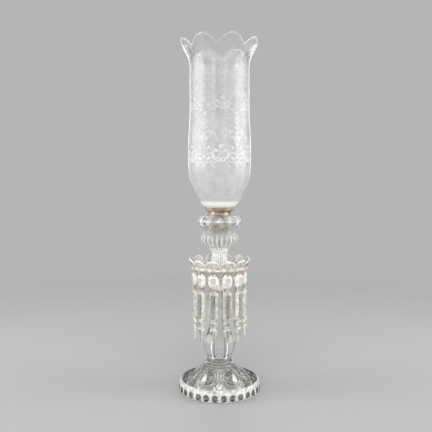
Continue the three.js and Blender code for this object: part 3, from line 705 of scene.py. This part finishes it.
def nozzleReshape(s, tall):
    def reshape(turn, radius, height):
        outside = radius > s.boreMouth + 1.2
        onLip = smoothStep(height, s.waistHeight, s.lipHeight - 2)
        offMouth = 1 - smoothStep(height, s.lipHeight + 3, tall)
        onBulge = smoothStep(height, s.neckHeight - 6, s.bulgeHeight - 6)
        belowWaist = 1 - smoothStep(height, s.bulgeHeight, s.waistHeight + 1)
        lobe = (1 - np.abs(np.sin(0.5 * turn * s.lobes))) ** 1.1
        share = (turn * s.flutes / turnFull + 0.5) % 1 - 0.5
        flute = peak(share, 0.2) ** 1.5
        cut = s.lobeDepth * lobe * onLip * offMouth
        cut = cut + s.fluteDepth * flute * onBulge * belowWaist * (radius > s.neckRadius - 0.5)
        # Painted light: highlights on the lip's edge, the lobes, the ridges between flutes and the neck;
        # painted shade in the flutes, in streaks on the neck and in arcs under the lip
        wear = 0.5 * peak(height - s.lipHeight, 1.6) * outside + 0.5 * lobe * onLip * offMouth
        wear = wear + onBulge * belowWaist * (0.6 * smoothStep(np.abs(share), 0.28, 0.42) - 0.3 * flute)
        rib = (0.5 + 0.5 * np.cos(turn * s.flutes)) ** 3
        onNeck = 1 - smoothStep(height, s.neckHeight + 4, s.neckHeight + 16)
        streak = 0.55 * smoothStep(np.abs(share), 0.3, 0.46) * (1 - onBulge)
        wear = wear + onNeck * (0.68 + 0.3 * rib - streak)
        across = 2 * ((turn * s.lobes / turnFull) % 1) - 1
        arcHeight = s.lipHeight - s.arcBelowLip - s.arcDrop * arch(across)
        wear = wear - 0.5 * peak(height - arcHeight, 1.5) * outside
        shaped = outside | (height < s.waistHeight) & (radius > 7)
        return turn, np.where(shaped, radius * (1 - cut), radius), height, np.where(shaped, wear, 0)
    return reshape


def makeNozzle(glass, ground):
    s = values(nozzleSizes)
    foot, head = footOf("nozzle"), headOf("nozzle")
    piece = turned("nozzle", nozzleOutline(s, head - foot), s.steps, nozzleReshape(s, head - foot), 30, foot)
    finishPiece(piece, glass, "clear_glass", "nozzle_body", "nozzle")
    piece.data.materials.append(ground)
    groundTop, floor = (foot + s.groundTop) * mm, (head - s.boreDepth - 1) * mm
    for face in piece.data.polygons:  # the bore and the stud's hole are ground
        spot, facing = face.center, face.normal
        across = math.hypot(spot.x, spot.y) / mm
        inward = spot.x * facing.x + spot.y * facing.y < 0 or facing.z > 0.5 and spot.z > floor
        if across < s.studRadius + 1 or across < s.boreMouth + 0.15 and spot.z < groundTop and inward:
            face.material_index = 1


# Brass: candle cup and gallery, both turned

cupSizes = {
    "steps": 96, "floorRadius": 11.9, "wall": 0.8, "neck": 16.9, "reach": 31.0, "standOff": 3.1,
    "bead": 1.2, "beadHeight": 0.7, "flangeWidth": 2.0, "flangeThickness": 0.8, "flangeGap": 1.6,
}

gallerySizes = {
    "steps": 120, "hole": 17.2, "footRadius": 20.3, "inner": 21.8, "wall": 1.0, "lip": 6.6, "flare": 0.9,
}


def makeCup(brass):
    s = values(cupSizes)
    bead = s.reach + s.standOff
    floor = bead + s.beadHeight
    flange = floor + s.flangeGap
    top = flange + s.flangeThickness
    n, w, f, edge = s.neck, s.wall, s.floorRadius, s.neck + s.flangeWidth
    ring = [[n + s.bead * math.sin(a), bead + 0.05 - 0.65 * math.cos(a)] for a in np.linspace(0.3, 2.84, 8)]
    outline = [[0, 0], [f - 0.9, 0], [f - 0.2, 0.3], [f, 0.9],
               *dense([[f, 0.9], [n, s.reach]], 4)[1:], [n, bead - 0.6], *ring,
               [n, floor], [n, flange], [edge - 0.3, flange], [edge, flange + 0.3], [edge - 0.1, top - 0.15],
               [edge - 0.4, top], [n - w + 0.2, top], [n - w, top - 0.2],
               *dense([[n - w, s.reach], [f - w, w + 0.7]], 5), [f - w - 0.3, w + 0.4], [0, w + 0.4]]
    piece = turned("candleCup", outline, s.steps, None, 30, footOf("candle_cup"))
    finishPiece(piece, brass, "aged_brass", "gallery_body", "candle_cup")


def makeGallery(brass):
    s = values(gallerySizes)
    inner, outer, lip, f = s.inner, s.inner + s.wall, s.lip, s.footRadius
    roll = [[outer + s.flare - 0.5 + 0.5 * math.cos(a), lip - 0.5 + 0.5 * math.sin(a)]
            for a in np.linspace(-0.6, 2.4, 9)]
    outline = [[s.hole, 0], [f - 0.4, 0],
               *flow([[f, 0.05], [f + 1.6, 0.7], [outer - 0.05, 2.0], [outer + 0.4, 0.6 * lip],
                      [outer + s.flare - 0.15, lip - 1.1]], 0.6),
               *roll, *dense([[inner + s.flare, lip - 0.3], [inner, s.wall + 0.3]], 1.5),
               [inner - 0.2, s.wall], [s.hole, s.wall], [s.hole, 0]]
    piece = turned("shadeGallery", outline, s.steps, None, 30, footOf("shade_gallery"))
    finishPiece(piece, brass, "aged_brass", "gallery_body", "shade_gallery")


# Shade: a turned wall whose flare is cut to scallops

shadeSizes = {
    "steps": 288, "wall": 2.2, "edgeWall": 1.6, "fitterRadius": 21.5, "fitterHeight": 5.6,
    "shoulderRadius": 46.8, "shoulderHeight": 46.0, "bodyRadius": 50.3, "bodyHeight": 103.0,
    "waistRadius": 47.6, "waistHeight": 206.0, "waistGrowth": 0.6, "flareStart": 234.0, "tipRadius": 62.6,
    "scallops": 8, "valley": 0.58, "phase": -3.5,
}


def shadeOutline(s, tall):
    f, fitter, r, shoulder = s.fitterRadius, s.fitterHeight, s.shoulderRadius, s.shoulderHeight
    b, body, waist, tip, start = s.bodyRadius, s.bodyHeight, s.waistRadius, s.tipRadius, s.flareStart
    bowl = [between(f, r, across, fitter, shoulder, up)
            for across, up in ((0.2, 0.06), (0.45, 0.28), (0.67, 0.53), (0.86, 0.77))]
    outline = [[f, 0], [f, fitter], *flow([
        *bowl, [r, shoulder], between(r, b, 0.77, shoulder, body, 0.28), [b, body],
        between(b, waist, 0.85, body, s.waistHeight, 0.47), [waist, s.waistHeight],
        [waist + s.waistGrowth, start], between(waist, tip, 0.24, start, tall, 0.32),
        between(waist, tip, 0.52, start, tall, 0.6), [tip, tall],
    ], 2.4)]
    inside = offsetInward(outline, s.wall)
    inside[-1] = [tip - s.edgeWall, tall]
    inside[0] = [f - s.wall, 0]
    return [*outline, *inside[::-1], outline[0]]


# A curve object of straight lines through (x, y, z, half width) points
def lineCurves(name, lines):
    curve = bpy.data.curves.new(name, "CURVE")
    curve.dimensions = "3D"
    for line in lines:
        spline = curve.splines.new("POLY")
        spline.points.add(len(line) - 1)
        for point, (x, y, z, half) in zip(spline.points, line):
            point.co = (x * mm, y * mm, z * mm, 1)
            point.radius = half * mm
    return placed(name, curve)


# A grid of one column per step and one row per outline point, bent round the axis
def scallopTree():
    tree = Growth("scallopedShade", {
        "Outline": "Object", "Rows": "Int", "Steps": "Int", "Scallops": "Int", "Valley": "Float",
        "Flare Start": "Float", "Flare Radius": "Float", "Phase": "Float", "Base": "Float",
        "Rim Row": "Float", "Wall": "Float", "Material": "Material"})
    outline, rows, steps, scallops, valley, start, *others = tree.inputs
    flareRadius, phase, base, rimRow, wall, material = others
    grid = tree.node("GeometryNodeMeshGrid", None, {
        "Size X": 1.0, "Size Y": 1.0, "Vertices X": steps + 1.0, "Vertices Y": rows})
    x, y = tree.split(tree.position())[:2]
    turn = (x + 0.5) * turnFull
    row = ((y + 0.5) * (rows - 1.0)).maths("ROUND")
    points = tree.node("GeometryNodeCurveToPoints", {"mode": "EVALUATED"}, {
        "Curve": tree.geometryOf(outline)})
    radius, height = tree.split(tree.node("GeometryNodeSampleIndex", {"data_type": "FLOAT_VECTOR"}, {
        "Geometry": points, "Value": tree.position(), "Index": row}))[::2]
    share = valley + (1.0 - valley) * (turn * scallops * 0.5).maths("SINE").maths("ABSOLUTE")
    flaring = height.maths("GREATER_THAN", start)
    factor = (1.0 - flaring) + flaring * share
    cutHeight = start + (height - start) * factor
    wallRadius = flareRadius - row.maths("GREATER_THAN", rimRow) * wall
    cutRadius = wallRadius + (radius - wallRadius) * factor
    turn = turn + phase
    across, behind = cutRadius * turn.maths("SINE"), cutRadius * turn.maths("COSINE") * -1.0
    place = tree.vector(across, behind, cutHeight + base)
    # The rows round the scalloped rim get a painted highlight
    polishAndHighlight = (1.9 - (row - rimRow).maths("ABSOLUTE")).maths("MAXIMUM", 0.0)
    marked = tree.node("GeometryNodeStoreNamedAttribute", {"data_type": "FLOAT", "domain": "POINT"}, {
        "Geometry": grid, "Name": "wear", "Value": polishAndHighlight})
    return tree.finish(tree.moved(marked, place, 1e-6), material)


def makeShade(etched, clear):
    s = values(shadeSizes)
    foot, head = footOf("shade"), headOf("shade")
    outline = shadeOutline(s, head - foot)
    curve = lineCurves("shadeOutline", [[(radius, 0, height, 1) for radius, height in outline]])
    piece = grow("shade", scallopTree(), {
        "Outline": curve, "Rows": len(outline), "Steps": s.steps, "Scallops": s.scallops,
        "Valley": s.valley, "Flare Start": s.flareStart * mm, "Wall": s.wall * mm,
        "Flare Radius": (s.waistRadius + s.waistGrowth) * mm, "Phase": math.radians(s.phase),
        "Base": foot * mm, "Rim Row": len(outline) / 2 - 1, "Material": etched})
    bpy.data.objects.remove(curve)
    recalculate(piece.data, 40)
    finishPiece(piece, etched, "etched_glass", "shade_body", "shade")
    piece.data.materials.append(clear)
    for face in piece.data.polygons:  # the inner wall is plain clear glass
        outward = face.normal.x * face.center.x + face.normal.y * face.center.y
        face.material_index = 0 if outward > 0 else 1
    return piece


# Etched sprays: scrolls, leaves and buds drawn flat, repeated round the shade and laid on its wall.
# A band is name, height, turn in degrees. A stroke is across, up, heading, length, bend at start and end,
# half width at start, middle and end.

spraySizes = {
    "wrapRadius": 50.0, "repeats": 6, "thickness": 0.11, "widen": 1.5, "step": 0.7,
    "bands": (("lower", 86.0, 2.0), ("side", 110.0, 32.0), ("upper", 164.0, 5.0)),
    "lower": (
        (1, -9, 18, 35, 1, 17, 0.45, 0.6, 0.35), (2, -7, 118, 19, -24, -14, 0.5, 0.6, 0.5),
        (6, -8, -48, 12, -2, 4, 0.3, 0.35, 0.4), (13, -15.5, -70, 1.6, 0, 0, 0.5, 1, 0.6),
        (9.5, -5.5, 88, 7, -5, 2, 0.2, 0.95, 0.15), (15, -2.5, -25, 7, 6, -2, 0.2, 0.9, 0.15),
        (4.5, 5, 60, 7.5, -6, 3, 0.2, 0.95, 0.15), (0, -8, 90, 20, 0, 0, 0.35, 0.35, 0.3),
        (0.6, 12, 42, 4.6, 8, 0, 0.3, 0.9, 0.4), (0, 12.6, 90, 4.8, 0, 0, 0.3, 0.9, 0.4),
        (12, -9, -18, 15, 1.5, 2.5, 0.3, 0.4, 0.3),
    ),
    "side": (
        (0, -46, 90, 86, 0, 0, 0.3, 0.45, 0.25), (0.3, -40, 40, 20, 3, 15, 0.3, 0.5, 0.5),
        (0.3, -26, 52, 22, -2, -17, 0.3, 0.5, 0.5), (0.3, -8, 40, 20, 3, 16, 0.3, 0.5, 0.5),
        (0.3, 8, 52, 18, -2, -19, 0.3, 0.5, 0.5), (0.3, 22, 45, 13, 3, 20, 0.3, 0.45, 0.4),
        (4, -30, 5, 6.5, 8, -2, 0.2, 0.95, 0.15), (5.5, -15, 70, 7.5, -6, 2, 0.2, 1, 0.15),
        (1, -1.5, 60, 6.5, -6, 2, 0.2, 0.95, 0.15), (4, 3, 5, 6, 8, -2, 0.2, 0.9, 0.15),
        (1, 16, 62, 6.5, -6, 2, 0.2, 0.9, 0.15), (0.6, 38, 45, 4.4, 8, 0, 0.3, 0.9, 0.4),
        (0, 39, 90, 4.6, 0, 0, 0.3, 0.9, 0.4),
    ),
    "upper": (
        (1.5, -7, 25, 24, -4, 27, 0.4, 0.6, 0.45), (4, -3.5, 100, 7, -5, 2, 0.2, 1, 0.15),
        (9, -6, -30, 9, 3, 5, 0.3, 0.35, 0.3), (17.5, -8, -10, 1.6, 0, 0, 0.5, 0.9, 0.5),
        (0.5, 7, 48, 4.2, 8, 0, 0.3, 0.85, 0.4), (0, 7.6, 90, 4.4, 0, 0, 0.3, 0.85, 0.4),
        (0, -6.5, 90, 13, 0, 0, 0.3, 0.35, 0.3),
    ),
}


# A stroke's line, with its mirror image where it isn't on the middle line
def strokeLines(stroke, up):
    x, y, heading, length, bendStart, bendEnd, *widths = stroke
    count = max(3, int(length / spraySizes["step"]))
    heading = math.radians(heading)
    made = []
    for i in range(count + 1):
        share = i / count
        made.append((x, y + up, 0, float(np.interp(share, (0, 0.5, 1), widths)) * spraySizes["widen"]))
        x += length / count * math.cos(heading)
        y += length / count * math.sin(heading)
        heading += math.radians(bendStart + (bendEnd - bendStart) * share) * length / count
    return [made] if abs(stroke[0]) < 0.1 else [made, [(-a, *rest) for a, *rest in made]]


def sprayTree():
    tree = Growth("wrappedSprays", {
        "Strokes": "Object", "Wall": "Object", "Repeats": "Int", "Wrap Radius": "Float", "Phase": "Float",
        "Flatness": "Float", "Base": "Float", "Material": "Material"})
    strokes, wall, repeats, wrapRadius, phase, flatness, base, material = tree.inputs

    def scaled(vector, amount):
        return tree.node("ShaderNodeVectorMath", {"operation": "SCALE"}, {"Vector": vector, "Scale": amount})

    def summed(first, second):
        return tree.node("ShaderNodeVectorMath", {"operation": "ADD"}, [first, second])

    ring = tree.node("GeometryNodeCurvePrimitiveCircle", {"mode": "RADIUS"}, {"Resolution": 6, "Radius": 1.0})
    ribbon = tree.node("GeometryNodeCurveToMesh", None, {
        "Curve": tree.geometryOf(strokes), "Profile Curve": ring,
        "Scale": tree.node("GeometryNodeInputRadius"), "Fill Caps": True})
    row = tree.node("GeometryNodeMeshLine", {"mode": "OFFSET"}, {
        "Count": repeats, "Offset": tree.vector(wrapRadius * turnFull / repeats, 0.0, 0.0)})
    laid = tree.node("GeometryNodeInstanceOnPoints", None, {"Points": row, "Instance": ribbon})
    flat = tree.node("GeometryNodeRealizeInstances", None, [laid])
    across, up, thick = tree.split(tree.position())
    turn = across / wrapRadius + phase
    outward = tree.vector(turn.maths("SINE"), turn.maths("COSINE") * -1.0, 0.0)
    hit = tree.node("GeometryNodeRaycast", None, {
        "Target Geometry": tree.geometryOf(wall),
        "Source Position": summed(tree.vector(0.0, 0.0, up + base), scaled(outward, 0.1)),
        "Ray Direction": scaled(outward, -1.0), "Ray Length": 0.1}, output="Hit Position")
    return tree.finish(tree.moved(flat, summed(hit, scaled(outward, thick * flatness))), material)


def makeSprays(shade, frost):
    s = values(spraySizes)
    tree = sprayTree()
    for name, height, phase in s.bands:
        strokes = lineCurves(name + "Strokes", [
            line for stroke in spraySizes[name] for line in strokeLines(stroke, height)])
        piece = grow(name + "Sprays", tree, {
            "Strokes": strokes, "Wall": shade, "Repeats": s.repeats, "Wrap Radius": s.wrapRadius * mm,
            "Phase": math.radians(phase), "Flatness": s.thickness, "Base": footOf("shade") * mm,
            "Material": frost})
        bpy.data.objects.remove(strokes)
        recalculate(piece.data, 60)
        finishPiece(piece, frost, "etched_glass", "shade_body")


# Pendants: cut bead and prism, eye pin and wire link

pendantSizes = {
    "count": 12, "phase": -13.0, "hang": 41.5, "gap": 0.3,
    "wire": 0.45, "wireSides": 10, "eye": 3.0, "eyeSteps": 36, "linkStraight": 5.4,
    "pin": 0.55, "pinHead": 1.5, "pinHeadThickness": 0.9,
    "holeRadius": 1.2, "holeEdge": 1.1, "holeBelowEye": 2.8,
    "beadHeight": 20.5, "beadHalfWidth": 8.0, "beadHalfThickness": 3.7, "beadCorner": 6.0, "beadTongue": 1.3,
    "beadWear": (0.0, 0.4), "barHalfWidth": 7.2, "barLength": 44.0, "halfThickness": 3.8, "shoulder": 6.0,
    "buttonHalfWidth": 6.2, "buttonHeight": 10.0, "spearHalfWidth": 6.5, "spearLength": 22.0,
    "notch": 2.6, "neckHalfWidth": 3.2, "prismWear": (-0.27, 0.36), "bevel": 0.34, "sideShine": 0.75,
}
pendant = values(pendantSizes)


# A cut-glass bar from its cross-sections [height, half width, table half width, half thickness, half edge],
# with the painted light of its broad faces and of its slanted ones, and wire holes through it at these
# heights
def cutBar(name, sections, wear, holes):
    s = pendant
    points = []
    for height, wide, table, thick, edge in sections:
        points += [(x, y, height) for x, y in (
            (wide, -edge), (wide, edge), (table, thick), (-table, thick),
            (-wide, edge), (-wide, -edge), (-table, -thick), (table, -thick))]
    last = 8 * (len(sections) - 1)
    faces = [tuple(range(7, -1, -1)), tuple(range(last, last + 8))]
    for row in range(0, last, 8):
        faces += [(row + i, row + (i + 1) % 8, row + 8 + (i + 1) % 8, row + 8 + i) for i in range(8)]
    piece = meshObject(name, points, faces, 1)

    def bevelled(work):
        sharp = [e for e in work.edges if e.calc_face_angle(0) > math.radians(12)]
        # Painted highlights on the bevels and the narrow sides; the broad faces and slanted facets get the
        # given painted light, which is shade where it is below 0
        polishAndHighlight = work.faces.layers.float.new("wear")
        for face in bmesh.ops.bevel(work, geom=sharp, offset=s.bevel * mm, segments=1, affect="EDGES",
                                    profile=0.5)["faces"]:
            face[polishAndHighlight] = 1.0
        work.normal_update()
        for face in work.faces:
            if abs(face.normal.x) > 0.93:  # the narrow ground sides, whitened further as a painted highlight
                face[polishAndHighlight] = s.sideShine
            elif abs(face.normal.y) > 0.97:
                face[polishAndHighlight] = wear[0]
            elif face.calc_area() > 2 * mm * mm:
                face[polishAndHighlight] = wear[1]
    recalculate(piece.data, 1, bevelled)
    piece.data.shade_flat()
    drill(piece, [(0, 0, height) for height in holes], s.holeRadius, 12, 20, True)
    return piece


def beadSource():
    s = pendant
    half, corner, wide, thick = s.beadHeight / 2, s.beadCorner, s.beadHalfWidth, s.beadHalfThickness
    edge = s.holeRadius + 2
    return cutBar("beadSource", [
        [-half - s.beadTongue, edge + 0.4, edge - 1, 1.0, 0.6],
        [-half + 0.5, edge + 2.3, edge, 1.35, 0.7],
        [-half + 0.5 * corner, 0.5 * (edge + wide) + 1.6, 3.6, 2.35, 0.9],
        [-half + corner, wide, 4.6, thick, 0.9],
        [half - corner, wide, 4.6, thick, 0.9],
        [half - 0.5 * corner, 0.5 * (edge + wide) + 0.6, 3.2, 2.6, 0.9],
        [half, edge, edge - 1, 1.2, 0.7],
    ], s.beadWear, [half - s.holeEdge - s.holeRadius, s.holeEdge + s.holeRadius - half])


def prismSource():
    s = pendant
    foot = -s.barLength
    buttonTop = foot - s.notch
    buttonFoot = buttonTop - s.buttonHeight
    spearTop = buttonFoot - s.notch
    bar, button, spear = s.barHalfWidth, s.buttonHalfWidth, s.spearHalfWidth
    neck, edge = [s.neckHalfWidth, 1.6, 2.0, 0.8], s.holeRadius + 2

    def full(wide):
        return [wide, 0.58 * wide, s.halfThickness, 0.8]
    return cutBar("prismSource", [
        [spearTop - s.spearLength, 0.9, 0.5, 0.9, 0.5],
        [spearTop - 2.6, *full(spear)], [spearTop - 1.2, *full(0.93 * spear)],
        [spearTop + 0.5 * s.notch, *neck], [buttonFoot + 2.8, *full(button)],
        [buttonTop - 2.8, *full(button)], [buttonTop + 0.5 * s.notch, *neck],
        [foot + 0.4, *full(0.9 * bar)], [foot + 2.4, *full(bar)], [-s.shoulder + 1.0, *full(bar)],
        [-0.45 * s.shoulder, 0.9 * bar, 3.2, 2.25, 0.8], [0.8, edge + 0.9, edge - 0.6, 1.0, 0.6],
    ], s.prismWear, [-s.holeEdge - s.holeRadius])


# A wire along a closed path in the radial plane: a ring of the eye's size with a straight stretch between
def wireLoop(name, straight):
    s = pendant
    turns = np.arange(s.eyeSteps) * turnFull / s.eyeSteps + math.pi / s.eyeSteps
    path = np.array([[s.eye * math.cos(t), s.eye * math.sin(t) + math.copysign(straight / 2, math.sin(t))]
                     for t in turns], float)
    along = np.roll(path, -1, axis=0) - np.roll(path, 1, axis=0)
    along /= np.linalg.norm(along, axis=1)[:, None]
    n, sides = len(path), s.wireSides
    angles = np.arange(sides) * turnFull / sides
    points = [(s.wire * math.cos(a), p[0] + s.wire * math.sin(a) * t[1], p[1] - s.wire * math.sin(a) * t[0])
              for p, t in zip(path, along) for a in angles]
    faces = [(i * sides + k, (i + 1) % n * sides + k, (i + 1) % n * sides + (k + 1) % sides,
              i * sides + (k + 1) % sides) for i in range(n) for k in range(sides)]
    return meshObject(name, points, faces, 60)


def pinSource():
    s = pendant
    loop = wireLoop("pinSource", 0)
    top = s.eye + s.wire + s.gap + panSizes["ledgeThickness"] + s.gap
    head, thick = s.pinHead, s.pinHeadThickness
    shank = turned("pinShank", [
        [0, s.eye], [s.pin, s.eye], [s.pin, top], [head - 0.2, top], [head, top + 0.25],
        [head - 0.15, top + 0.6 * thick], [0.6 * head, top + 0.92 * thick], [0, top + thick],
    ], 20, None, 50)
    work = bmesh.new()
    for part in (loop, shank):
        work.from_mesh(part.data)
    work.to_mesh(loop.data)
    work.free()
    bpy.data.objects.remove(shank)
    return loop


def hangTree():
    tree = Growth("hungPiece", {
        "Source": "Object", "Turn": "Float", "Radius": "Float", "Height": "Float", "Material": "Material"})
    source, turn, radius, height, material = tree.inputs
    place = tree.vector(radius * turn.maths("SINE"), radius * turn.maths("COSINE") * -1.0, height)
    point = tree.node("GeometryNodePoints", None, {"Count": 1, "Position": place})
    hung = tree.node("GeometryNodeInstanceOnPoints", None, {
        "Points": point, "Instance": tree.geometryOf(source), "Rotation": tree.vector(0.0, 0.0, turn)})
    return tree.finish(hung, material)


def makePendants(beadGlass, crystal, wire, linkWire):
    s = pendant
    eye = footOf("bobeche") + panSizes["ledgeHeight"] - s.gap - s.wire - s.eye
    edge = s.holeBelowEye - s.holeRadius - s.holeEdge
    bead = eye - edge - s.beadHeight / 2
    linkTop = bead - s.beadHeight / 2 - edge
    tree = hangTree()
    parts = [
        ("eyePin", "eye_pin", "pan_body", pinSource(), eye, wire, "brass_wire"),
        ("bead", "bead", "bead_body", beadSource(), bead, beadGlass, "cut_crystal"),
        ("wireLink", "link", "bead_body", wireLoop("linkSource", s.linkStraight),
         linkTop - s.linkStraight / 2, linkWire, "brass_wire"),
        ("prism", "prism", "prism_body", prismSource(),
         linkTop - s.linkStraight - edge, crystal, "cut_crystal"),
    ]
    for k in range(s.count):
        number = f"{k + 1:02d}"
        turn = math.radians(s.phase) + k * turnFull / s.count
        for label, node, body, source, height, material, slotName in parts:
            piece = grow(f"{label}{number}", tree, {
                "Source": source, "Turn": turn, "Radius": s.hang * mm, "Height": height * mm,
                "Material": material})
            bodyName = body if body == "pan_body" else f"{body}_{number}"
            finishPiece(piece, material, slotName, bodyName, f"{node}_{number}")
    for part in parts:
        bpy.data.objects.remove(part[3])


# Stage: pale floor that fades into the backdrop, and soft studio light

stageLook = {
    "backdrop": (0.46, 0.46, 0.465), "floor": (0.37, 0.37, 0.375), "floorRadius": 3.0, "floorRough": 0.7,
    "floorGrain": 260.0, "fade": (0.5, 1.35),
    "ambient": 0.48, "strips": 8, "stripEdge": (0.42, 0.62), "gapEdge": (-0.45, -0.25),
    "stripTop": (0.55, 0.65), "stripFoot": (-0.1, 0.0), "dimEdge": (0.3, 0.5), "dim": (0.1, 0.1, 0.103),
    "skyEdge": (0.8, 0.86), "bright": (2.2, 2.2, 2.2), "brightThrough": (1.12, 1.12, 1.12),
}


def makeFloor():
    look = values(stageLook)
    bpy.ops.mesh.primitive_circle_add(vertices=96, radius=look.floorRadius, fill_type="NGON")
    floor = bpy.context.object
    floor.name = "floor"
    material, shader = newMaterial("paleFloor", look.floor, 0.8)
    fade = shader.step(shader.aroundAxis()[0], *look.fade)
    tone = shader.mix(shader.noise(look.floorGrain), tuple(0.97 * c for c in look.floor), look.floor)
    matt = shader.principled(tone, look.floorRough, {"Specular IOR Level": 0.25})
    shader.finish(fade, matt, shader.node("ShaderNodeBsdfTransparent"))
    floor.data.materials.append(material)


# Plain backdrop for the camera and plain ambient light. Glass sees bright strips and dark gaps between them,
# dimmer behind it than in its reflections.
def makeWorld():
    look = values(stageLook)
    world = bpy.data.worlds.new("studio")
    bpy.context.scene.world = world
    world.use_nodes = True
    shader = Shader(world.node_tree)
    ray = shader.node("ShaderNodeLightPath", output="Is Camera Ray")
    glossy, through = (Field(shader, ray.socket.node.outputs[f"Is {kind} Ray"])
                       for kind in ("Glossy", "Transmission"))
    x, y, up = shader.split(shader.node("ShaderNodeTexCoord", output="Generated"))
    wave = (x.maths("ARCTAN2", y) * look.strips).maths("COSINE") * -1.0
    low = (1 - shader.step(up, *look.stripTop)) * shader.step(up, *look.stripFoot)
    dim = shader.step(up, *look.dimEdge).maths("MAXIMUM", shader.step(wave, *look.gapEdge) * low)
    glow = shader.mix(through, look.bright, look.brightThrough)
    tone = shader.mix(dim, look.backdrop, look.dim)
    tone = shader.mix(shader.step(wave, *look.stripEdge) * low, tone, glow)
    tone = shader.mix(shader.step(up, *look.skyEdge), tone, glow)
    ambient = shader.node("ShaderNodeBackground", None, {"Color": (1, 1, 1, 1), "Strength": look.ambient})
    backdrop = shader.node("ShaderNodeBackground", None, {
        "Color": shader.mix(ray, tone, look.backdrop), "Strength": 1.0})
    seen = ray.maths("MAXIMUM", glossy).maths("MAXIMUM", through)
    mixed = shader.node("ShaderNodeMixShader", None, [seen, ambient, backdrop])
    shader.node("ShaderNodeOutputWorld", None, {"Surface": mixed})


# Place in metres, height aimed at, size, power, whether reflections show it, spread in degrees
lampLook = {
    "left": ((-1.4, -0.15, 0.75), 0.3, (0.9, 1.3), 15.0, True, 180),
    "right": ((1.4, -0.15, 0.75), 0.3, (0.9, 1.3), 15.0, True, 180),
    "top": ((0.0, -0.45, 1.75), 0.25, (0.9, 0.6), 12.0, False, 180),
    "front": ((0.0, -1.7, 1.25), 0.25, (1.0, 0.7), 3.0, False, 180),
    "fill": ((0.0, -1.6, 0.1), 0.17, (1.2, 0.2), 1.4, False, 28),
    "back": ((0.0, 1.6, 1.3), 0.3, (1.0, 0.5), 5.0, True, 180),
}


def makeLamps():
    for name, (place, aim, size, power, shine, spread) in lampLook.items():
        data = bpy.data.lights.new(name, "AREA")
        data.shape, data.energy, data.spread = "RECTANGLE", power, math.radians(spread)
        data.size, data.size_y = size
        made = placed(name, data)
        made.visible_glossy, made.visible_transmission = shine, False
        made.location = place
        made.rotation_euler = (Vector((0, 0, aim)) - Vector(place)).to_track_quat("-Z", "Y").to_euler()


cameraFit = {"distance": 0.9087, "height": 0.3371, "pitch": 3.383, "yaw": 0.355, "lens": 47.13, "sensor": 36}


def makeCamera():
    fit = values(cameraFit)
    data = bpy.data.cameras.new("camera")
    data.lens, data.sensor_width = fit.lens, fit.sensor
    made = placed("camera", data)
    made.location = (0, -fit.distance, fit.height)
    made.rotation_euler = (math.radians(90 - fit.pitch), 0, math.radians(fit.yaw))
    bpy.context.scene.camera = made


bpy.context.scene.view_settings.view_transform = "Standard"
makeCamera()
makeWorld()
makeFloor()
makeLamps()
print("stage ready")

look = values(glassLook)
# Below this height the pan's glass gets a painted glow and specks of painted shadow
glowTop = footOf("bobeche") + panSizes["ledgeHeight"] + panSizes["ledgeThickness"] + 2
plain, fine = (look.clearLow, look.clearHigh), (look.clearLow, look.straw)
baseGlass = glassWithPaintedLight("pressedGlass", *plain, 1.5, 0.04, 0.9, (0.955, 0.94, 0.9))
panGlass = glassWithPaintedLight("panGlass", *fine, 1.5, 0.12, 0.95, look.cream, glowBelow=(glowTop * mm, 0.52))
nozzleGlass = glassWithPaintedLight("nozzleGlass", *plain, 1.5, 0.16, 1.0)
plainGlass = glassWithPaintedLight("plainGlass", look.clearLow, look.clearLow, 1.5, 0.02, 0.9, ripple=0.3)
groundGlass = glassWithPaintedLight("groundGlass", look.clearLow, look.clearLow, 1.5, 0.9, 0.0)
beadGlass = glassWithPaintedLight("beadCrystal", *fine, 1.56, 0.42, 0.95, look.cream, 0.3)
crystal = glassWithPaintedLight("cutCrystal", *fine, 1.56, 0.05, 0.95, look.cream, 0.3)
brass, cupBrass, wire, linkWire, pale = (agedBrass(name, *metal) for name, metal in brassLook.items())
felt = feltMaterial()
print("materials ready")

makeBase(baseGlass)
makePan(panGlass)
makeNozzle(nozzleGlass, groundGlass)
makeCup(cupBrass)
makeGallery(brass)
print("stick, pan, nozzle and brass ready")
makeSprays(makeShade(etchedGlass(), plainGlass), ornamentGlass())
makePendants(beadGlass, crystal, wire, linkWire)
print("shade and pendants ready")

hidden = {"stem_socket": pale, "nozzle_screw": pale, "lower_washer": felt, "upper_washer": felt}
for node, material in hidden.items():
    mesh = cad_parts[node].data
    mesh.materials.clear()
    mesh.materials.append(material)
